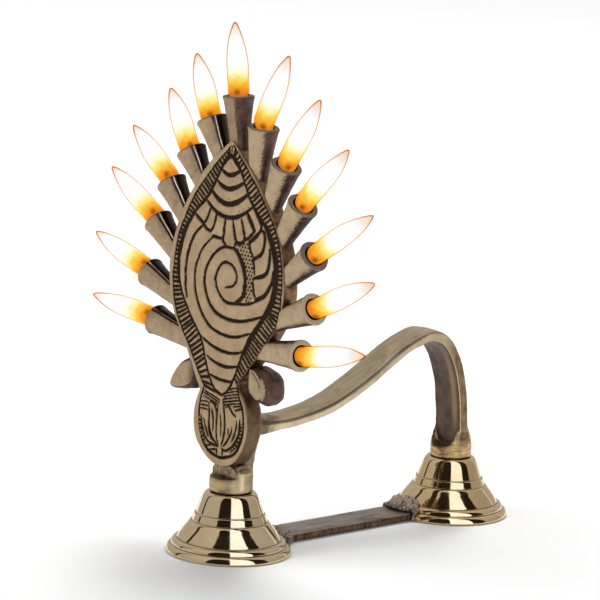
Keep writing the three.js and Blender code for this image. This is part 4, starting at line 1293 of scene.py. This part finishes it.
def add_handle(material):
    route = [(y * FOOT_SPACING + FRONT_Y, z * HANDLE_TOP) for y, z in HANDLE_ROUTE]
    line = curve(route + [(REAR_Y, COLLAR_BOTTOM + 1)], 0.8)
    travel = along(line)
    stem_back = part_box("front_stem")[1].y / MM
    line, travel = line[line[:, 0] > stem_back - 1.5], travel[line[:, 0] > stem_back - 1.5]
    tangent = tangents(line)
    thickness = mix(HANDLE_ROOT_THICKNESS, HANDLE_THICKNESS, smoothstep(travel, 0, HANDLE_ROOT_LENGTH))
    creases = mix(*STRAP_CREASE, smoothstep(line[:, 0], 26, 48))
    rings = []
    for point, (ty, tz), thick, share in zip(line, tangent, thickness, creases):
        section = strap_section(share)
        lift = section[:, 1] * thick
        rings.append(np.stack([section[:, 0], point[0] - tz * lift, point[1] + ty * lift], axis=1))
    strap = ring_stack(rings)

    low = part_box("handle")[0].z / MM
    half = HANDLE_WIDTH / 2
    turns = full_turn(120)
    collar = []
    leg_line = line[line[:, 0] > REAR_Y - 3][::-1]
    for h in np.linspace(SEAT - low, REAR_COLLAR_HEIGHT, 62):
        blend = smoothstep(h, 4, REAR_COLLAR_HEIGHT - 2)
        round_x = mix(COLLAR_RADIUS - 0.05, half - 0.3, smoothstep(h, 3, 14))
        round_y = mix(COLLAR_RADIUS - 0.05, HANDLE_THICKNESS / 2 - 0.5, blend)
        x, y = squircle(round_x - 0.35 * smoothstep(h, 0.3, -0.3), round_y, mix(2, 4, blend), turns)
        arch = 6.8 * math.sqrt(max(0, 1 - max(0, (9.5 - h) / 5.4) ** 2)) + 1.6 * smoothstep(h, 11, 17)
        deep = smoothstep(arch - np.abs(x), -0.4, 0.6) * smoothstep(h, 3.9, 4.9)
        y = np.maximum(y, mix(-20, 0.1 - HANDLE_THICKNESS / 2, deep))
        middle = np.interp(low + h, leg_line[:, 1], leg_line[:, 0])
        collar.append(level_ring(x, y + middle, low + h))
    mesh = fused("handle", [strap, ring_stack(collar)], 0.36, 4)
    roughen(mesh, (7, 0.25, 41), (1.5, 0.12, 42))

    points, normals = mesh_points(mesh), mesh_normals(mesh)
    x, y, z = points.T
    nearest = np.linalg.norm(points[:, None, 1:] - line[None, ::4], axis=2).argmin(axis=1) * 4
    ty, tz = tangent[nearest].T
    lift = (points[:, 1] - line[nearest, 0]) * -tz + (z - line[nearest, 1]) * ty
    inner = tz * normals[:, 1] - ty * normals[:, 2]
    leg = smoothstep(y, 45, 56)
    flank = smoothstep(np.abs(x), half - 1.3, half - 0.5) * smoothstep(z, low + 14, low + 19)
    crease_lift = creases[nearest] * thickness[nearest]
    crease = hump(lift, crease_lift, 0.42) * flank
    crease *= mix(1, 0.35, smoothstep(y, 24, 40))
    set_points(mesh, points - normals * 0.3 * crease[:, None])
    hollow = smoothstep(points[:, 1] - REAR_Y, -4.4, -3.4) + smoothstep(z, low + 14, low + 17)
    # The rear leg's hollow inner side, painted in shade.
    ground = smoothstep(inner, 0.25, 0.7) * smoothstep(z, low + 3.8, low + 5.2) * np.clip(hollow, 0, 1)
    root = smoothstep(y, -40, -50) * smoothstep(noise(points, 3.5, 43, 3), -0.35, 0.25)
    seam = smoothstep(z, SEAT + 0.9, SEAT + 0.4)
    # Painted highlights: along the leg's inner edge, on the arch's top, a reflection streak on the collar and a sheen
    # on the flank below the crease.
    edge = 0.9 * hump(np.abs(x), half - 0.15, 0.5) * smoothstep(inner, 0.1, 0.3) * leg
    edge *= smoothstep(z, low + 8, low + 13)
    gleam = flank * smoothstep(crease, 0.3, 0.1) * (lift < crease_lift) * smoothstep(-y, -14, 12)
    top = smoothstep(normals[:, 2], 0.5, 0.8) * hump(y, 40, 7)
    turn = np.degrees(np.arctan2(x, REAR_Y - y))
    shine = hump(turn, 84, 8) * smoothstep(z, low + 9, low + 3) * smoothstep(z, low + 0.8, low + 2)
    set_attributes(
        mesh,
        # Painted shade in the hollow and the crease, with a dark stain near the plate and the dark seam.
        recess=np.maximum.reduce([ground, 0.85 * crease, 0.8 * root, seam]),
        side=smoothstep(np.abs(normals[:, 0]), 0.5, 0.8) * leg,
        gold=smoothstep(z, low + 14, low + 5),
        # A painted highlight down the hollow's inner face.
        warm=hump(x, 4.2, 1.5) * smoothstep(z, low + 8, low + 20) * leg,
        burnish=np.maximum.reduce([edge, 0.4 * top, 0.45 * shine, 0.4 * gleam]),
    )
    return piece("handle_strap", mesh, material, "handle_brass", "handle")


# Feet, bar and braze

# The bell's outside from the rim up, as (radius, height): smooth runs with a sharp corner between them

BELL = [
    [(24.6, 0), (25, 0.45), (24.92, 1.0), (24.7, 1.65), (24.25, 2.4), (23.6, 2.95), (23, 3.1)],
    [(22.95, 3.3), (22.88, 3.8), (22.6, 4.5), (22, 5.1), (21.3, 5.35), (20.8, 5.4)],
    [(20.6, 5.6), (20.05, 6.6), (18.7, 8.6), (17.15, 10.6), (15.4, 12.6), (14.95, 12.72)],
    [(15, 13), (14.45, 14.5), (13.95, 15.7), (13.45, 15.85)],
    [(13.5, 16.15), (12.8, 18.1), (12.1, 20), (11.4, 21.8), (10.75, 23.1), (10.1, 23.9), (9.4, 24.3)],
]
BELL_HOLLOW = [(0.5, 1), (0.56, 0.75), (0.62, 0.55), (0.7, 0.4), (0.85, 0.22)]
BELL_GROOVES = [(22.95, 3.2), (20.7, 5.45), (14.95, 12.8), (13.45, 15.95)]


def add_foot(end, material):
    middle = FRONT_Y if end == "front" else REAR_Y
    ceiling = FOOT_HEIGHT - FOOT_TOP_THICKNESS
    hollow = [(r * FOOT_RADIUS - FOOT_WALL, h * ceiling) for r, h in BELL_HOLLOW]
    mouth = (0.976 * FOOT_RADIUS - FOOT_RIM_WIDTH, 0)
    outside = np.maximum(np.vstack([curve(run, 0.3) for run in BELL]), 0)
    profile = np.vstack([outside, [(2.3, FOOT_HEIGHT), (2.3, ceiling)], hollow, [mouth], outside[:1]])
    points, faces = revolve(profile, 256)
    mesh = new_mesh(f"{end}_bell", points + (0, middle, 0), faces)
    p = mesh_points(mesh)
    radius = np.hypot(p[:, 0], p[:, 1] - middle)
    recess = sum(hump(radius, r, 0.28) * hump(p[:, 2], h, 0.24) for r, h in BELL_GROOVES)
    # A painted shadow on the bell's top round the collar.
    contact = smoothstep(p[:, 2], FOOT_HEIGHT - 0.3, FOOT_HEIGHT - 0.1)
    contact *= smoothstep(-radius, -COLLAR_RADIUS - 0.5, -COLLAR_RADIUS)
    set_attributes(mesh, recess=np.clip(0.85 * recess + 0.9 * contact, 0, 0.92))
    return piece(f"{end}_bell", mesh, material, "polished_brass", f"{end}_foot")


def add_bar(material):
    reach = FOOT_RADIUS + 0.3
    half = BAR_WIDTH / 2
    xs = np.linspace(BAR_OFFSET - half, BAR_OFFSET + half, 33)
    steps = 160
    hollow = np.sqrt(reach**2 - xs**2)
    rows = mix(FRONT_Y + hollow, REAR_Y - hollow, np.linspace(0, 1, steps)[:, None])
    top = np.stack([np.tile(xs, (steps, 1)), rows, np.full(rows.shape, BAR_THICKNESS)], axis=2)
    edge = np.minimum(xs - xs[0], xs[-1] - xs)
    soft = 0.5 - np.sqrt(np.maximum(0, 0.25 - (0.5 - np.minimum(edge, 0.5)) ** 2))
    wear = 0.08 * (1 + noise(top.reshape(-1, 3), 6, 51, 3)).reshape(rows.shape)
    top[:, :, 2] -= soft[None, :] + wear
    bottom = top[:, ::-1].copy()
    bottom[:, :, 2] = 0.02 + soft[None, ::-1]
    mesh = new_mesh("bar", *ring_stack(np.concatenate([top, bottom], axis=1)))
    points = mesh_points(mesh)
    out = np.abs(points[:, 0] - BAR_OFFSET) / half
    chafe = smoothstep(noise(points, 9, 52, 3), -0.5, 0.3)
    worn = 0.75 * hump(out, 0.955, 0.022) * (points[:, 2] > 1.5) * chafe
    set_attributes(mesh, side=smoothstep(out, 0.955, 0.99), worn=worn)
    return piece("bar", mesh, material, "bar_brass", "base_bar")


def add_braze(end, material):
    """A heap of braze: the CAD lump with streaky ridges and pits."""
    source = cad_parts[f"{end}_braze"].data
    faces = [list(polygon.vertices) for polygon in source.polygons]
    mesh = fused(f"{end}_braze", [(mesh_points(source), faces)], 0.25, 5)
    points, normals = mesh_points(mesh), mesh_normals(mesh)
    ridges = np.abs(noise(points * (1.5, 0.6, 1), 2.0, 61, 2)) * 2 - 1.6
    depth = 1.1 * ridges + 0.55 * (noise(points, 1.1, 62) - 1) + 0.3 * (noise(points, 0.55, 63) - 1)
    points += normals * depth[:, None] / 2
    points[:, 2] = np.maximum(points[:, 2], BRAZE_FLOOR)
    set_points(mesh, points)
    return piece(f"{end}_braze_lump", mesh, material, "braze", f"{end}_braze")


# Camera, floor and light


def toward(azimuth, elevation):
    """The direction from the lamp to a place round it. Azimuth 0 is in front and 90 on the right."""
    a, e = math.radians(azimuth), math.radians(elevation)
    return Vector((math.sin(a) * math.cos(e), -math.cos(a) * math.cos(e), math.sin(e)))


def add_camera():
    back = toward(CAMERA_AZIMUTH, CAMERA_ELEVATION)
    right = toward(CAMERA_AZIMUTH + 90, 0)
    up = right.cross(-back)
    roll = math.radians(CAMERA_ROLL)
    x = right * math.cos(roll) + up * math.sin(roll)
    y = up * math.cos(roll) - right * math.sin(roll)
    data = bpy.data.cameras.new("camera")
    data.lens = CAMERA_LENS
    data.sensor_width = 36
    data.clip_end = 50
    camera = placed("camera", data)
    turn = Matrix((x, y, back)).transposed().to_4x4()
    camera.matrix_world = Matrix.Translation((Vector(CAMERA_TARGET) + back * CAMERA_DISTANCE) * MM) @ turn
    bpy.context.scene.camera = camera


def add_world(level):
    """A white surround that lights the lamp at a lower level than it shows."""
    t = Tree("studio", "World")
    strength = t.ramp(t.seen_directly(), 0, 1, level, 1.0)
    bpy.context.scene.world = t.finish(
        t.add("Background", {"Color": rgb(1, 1, 1), "Strength": strength}).outputs["Background"]
    )


def add_floor(near_glow, far_glow):
    """A pale floor that keeps the shadow. It glows more where the lamps reach it less, so it stays white."""
    mesh = bpy.data.meshes.new("floor")
    corners = [(x * FLOOR_REACH, y * FLOOR_REACH, 0) for x, y in ((-1, -1), (1, -1), (1, 1), (-1, 1))]
    mesh.from_pydata(corners, [], [(0, 1, 2, 3)])
    floor = placed("floor", mesh)
    floor.location.z = -FLOOR_DROP
    t = Tree("floor")
    mottle = t.speckle(90, 0.3, 0.7, 3)
    color = t.blend(mottle, rgb(0.79, 0.79, 0.79), rgb(0.81, 0.81, 0.81))
    paint = t.add("BsdfDiffuse", {"Color": color}).outputs["BSDF"]
    away = t.add("VectorMath", {0: t.place}, operation="LENGTH").outputs["Value"]
    glow = t.ramp(away, 0.1, 2.2, near_glow, far_glow)
    lit = t.math("MULTIPLY", t.seen_directly(), glow)
    light = t.add("Emission", {"Color": rgb(1, 1, 1), "Strength": lit}).outputs["Emission"]
    mesh.materials.append(t.finish(t.add("AddShader", {0: paint, 1: light}).outputs["Shader"]))


def add_lamp(name, azimuth, elevation, distance, size, power):
    data = bpy.data.lights.new(name, "AREA")
    data.shape = "DISK"
    data.size = size
    data.energy = power
    lamp = placed(name, data)
    direction = toward(azimuth, elevation)
    lamp.location = direction * distance
    lamp.rotation_euler = direction.to_track_quat("Z", "Y").to_euler()
    lamp.visible_glossy = False


def reflector(name, directions, radius, faces, color, strength, lift=None):
    """A glowing sheet that only shows in reflections. Its light rises by the factor lift towards its top."""
    mesh = bpy.data.meshes.new(name)
    mesh.from_pydata([tuple(direction * radius) for direction in directions], [], faces)
    made = placed(name, mesh)
    t = Tree(name)
    if lift:
        strength = t.ramp(t.height(), 0, radius, strength, strength * lift)
    mesh.materials.append(t.finish(t.add("Emission", {"Color": color, "Strength": strength}).outputs["Emission"]))
    made.visible_camera = made.visible_diffuse = made.visible_shadow = made.visible_transmission = False
    return made


def add_card(name, radius, azimuths, top, color, strength, lift=1.0, arch=0):
    """An upright card. Azimuths are counted from the camera's, and its top corners fall away by arch degrees."""
    share = np.linspace(0, 1, 25)
    rows = np.linspace(0, 1, 13)
    places = list(zip(mix(*azimuths, share), top - arch * np.abs(2 * share - 1) ** 6))
    directions = [toward(CAMERA_AZIMUTH + a, mix(-1, e, t)) for t in rows for a, e in places]
    faces = grid_faces(len(rows), len(share), closed=False)
    card = reflector(name, directions, radius, faces, color, strength, lift)


def add_ceiling(name, radius, low, color, strength):
    """A cap over the cards, from an elevation up."""
    directions = [toward(a, e) for e in np.linspace(low, 89.5, 8) for a in np.arange(0, 360, 10)]
    cap = reflector(name, directions, radius, grid_faces(8, 36), color, strength)


WALL = rgb(1.0, 0.945, 0.92)
DARK = rgb(1.0, 0.8, 0.7)
WINDOW = rgb(0.76, 0.83, 1.0)


def add_studio():
    add_world(0.37)
    add_floor(0.05, 0.62)
    add_lamp("key", -25, 50, 1.6, 1.0, 6)
    add_lamp("back", 220, 75, 1.8, 0.7, 16)
    add_lamp("back_low", 219, 55, 1.9, 0.7, 11.2)
    add_card("wall_left", 4.6, (-110, 22), 72, WALL, 0.49, 1.3)
    add_card("wall_right", 4.6, (22, 134), 72, WALL, 0.42, 1.3)
    add_card("back", 4.6, (134, 250), 72, WALL, 0.50, 1.2)
    add_card("seam_left", 4.4, (-109, -102), 80, DARK, 0.03)
    add_card("dark_left", 4.4, (-39, 5), 68, DARK, 0.02, 1, 8)
    add_card("dark_right", 4.4, (50, 78), 72, DARK, 0.02, 1, 8)
    add_card("window", 4.3, (5, 50), 82, WINDOW, 1.9)
    add_card("glint", 4.4, (129, 132), 75, WINDOW, 1.2)
    add_ceiling("ceiling", 4.7, 71, WALL, 0.60)


def main():
    bpy.context.scene.view_settings.view_transform = "Standard"
    add_camera()
    add_studio()
    add_plate()
    sockets, wick, flame = socket_brass(), cotton_wick(), [flame_skin(), flame_core()]
    for seed, place in enumerate(socket_places(), 1):
        add_socket(place, seed, sockets)
        add_wick(place, seed, wick)
        add_flame(place, seed, flame)
    for side in ("left", "right"):
        add_bud(side, sockets)
    add_stem(cast_brass())
    add_handle(handle_brass())
    braze, fastener = braze_metal(), fastener_brass()
    for end in ("front", "rear"):
        add_foot(end, polished_brass(end))
        add_braze(end, braze)
        for part in ("washer", "screw"):
            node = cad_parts[f"{end}_{part}"]
            node.data.materials.clear()
            node.data.materials.append(fastener)
    add_bar(bar_brass())


main()
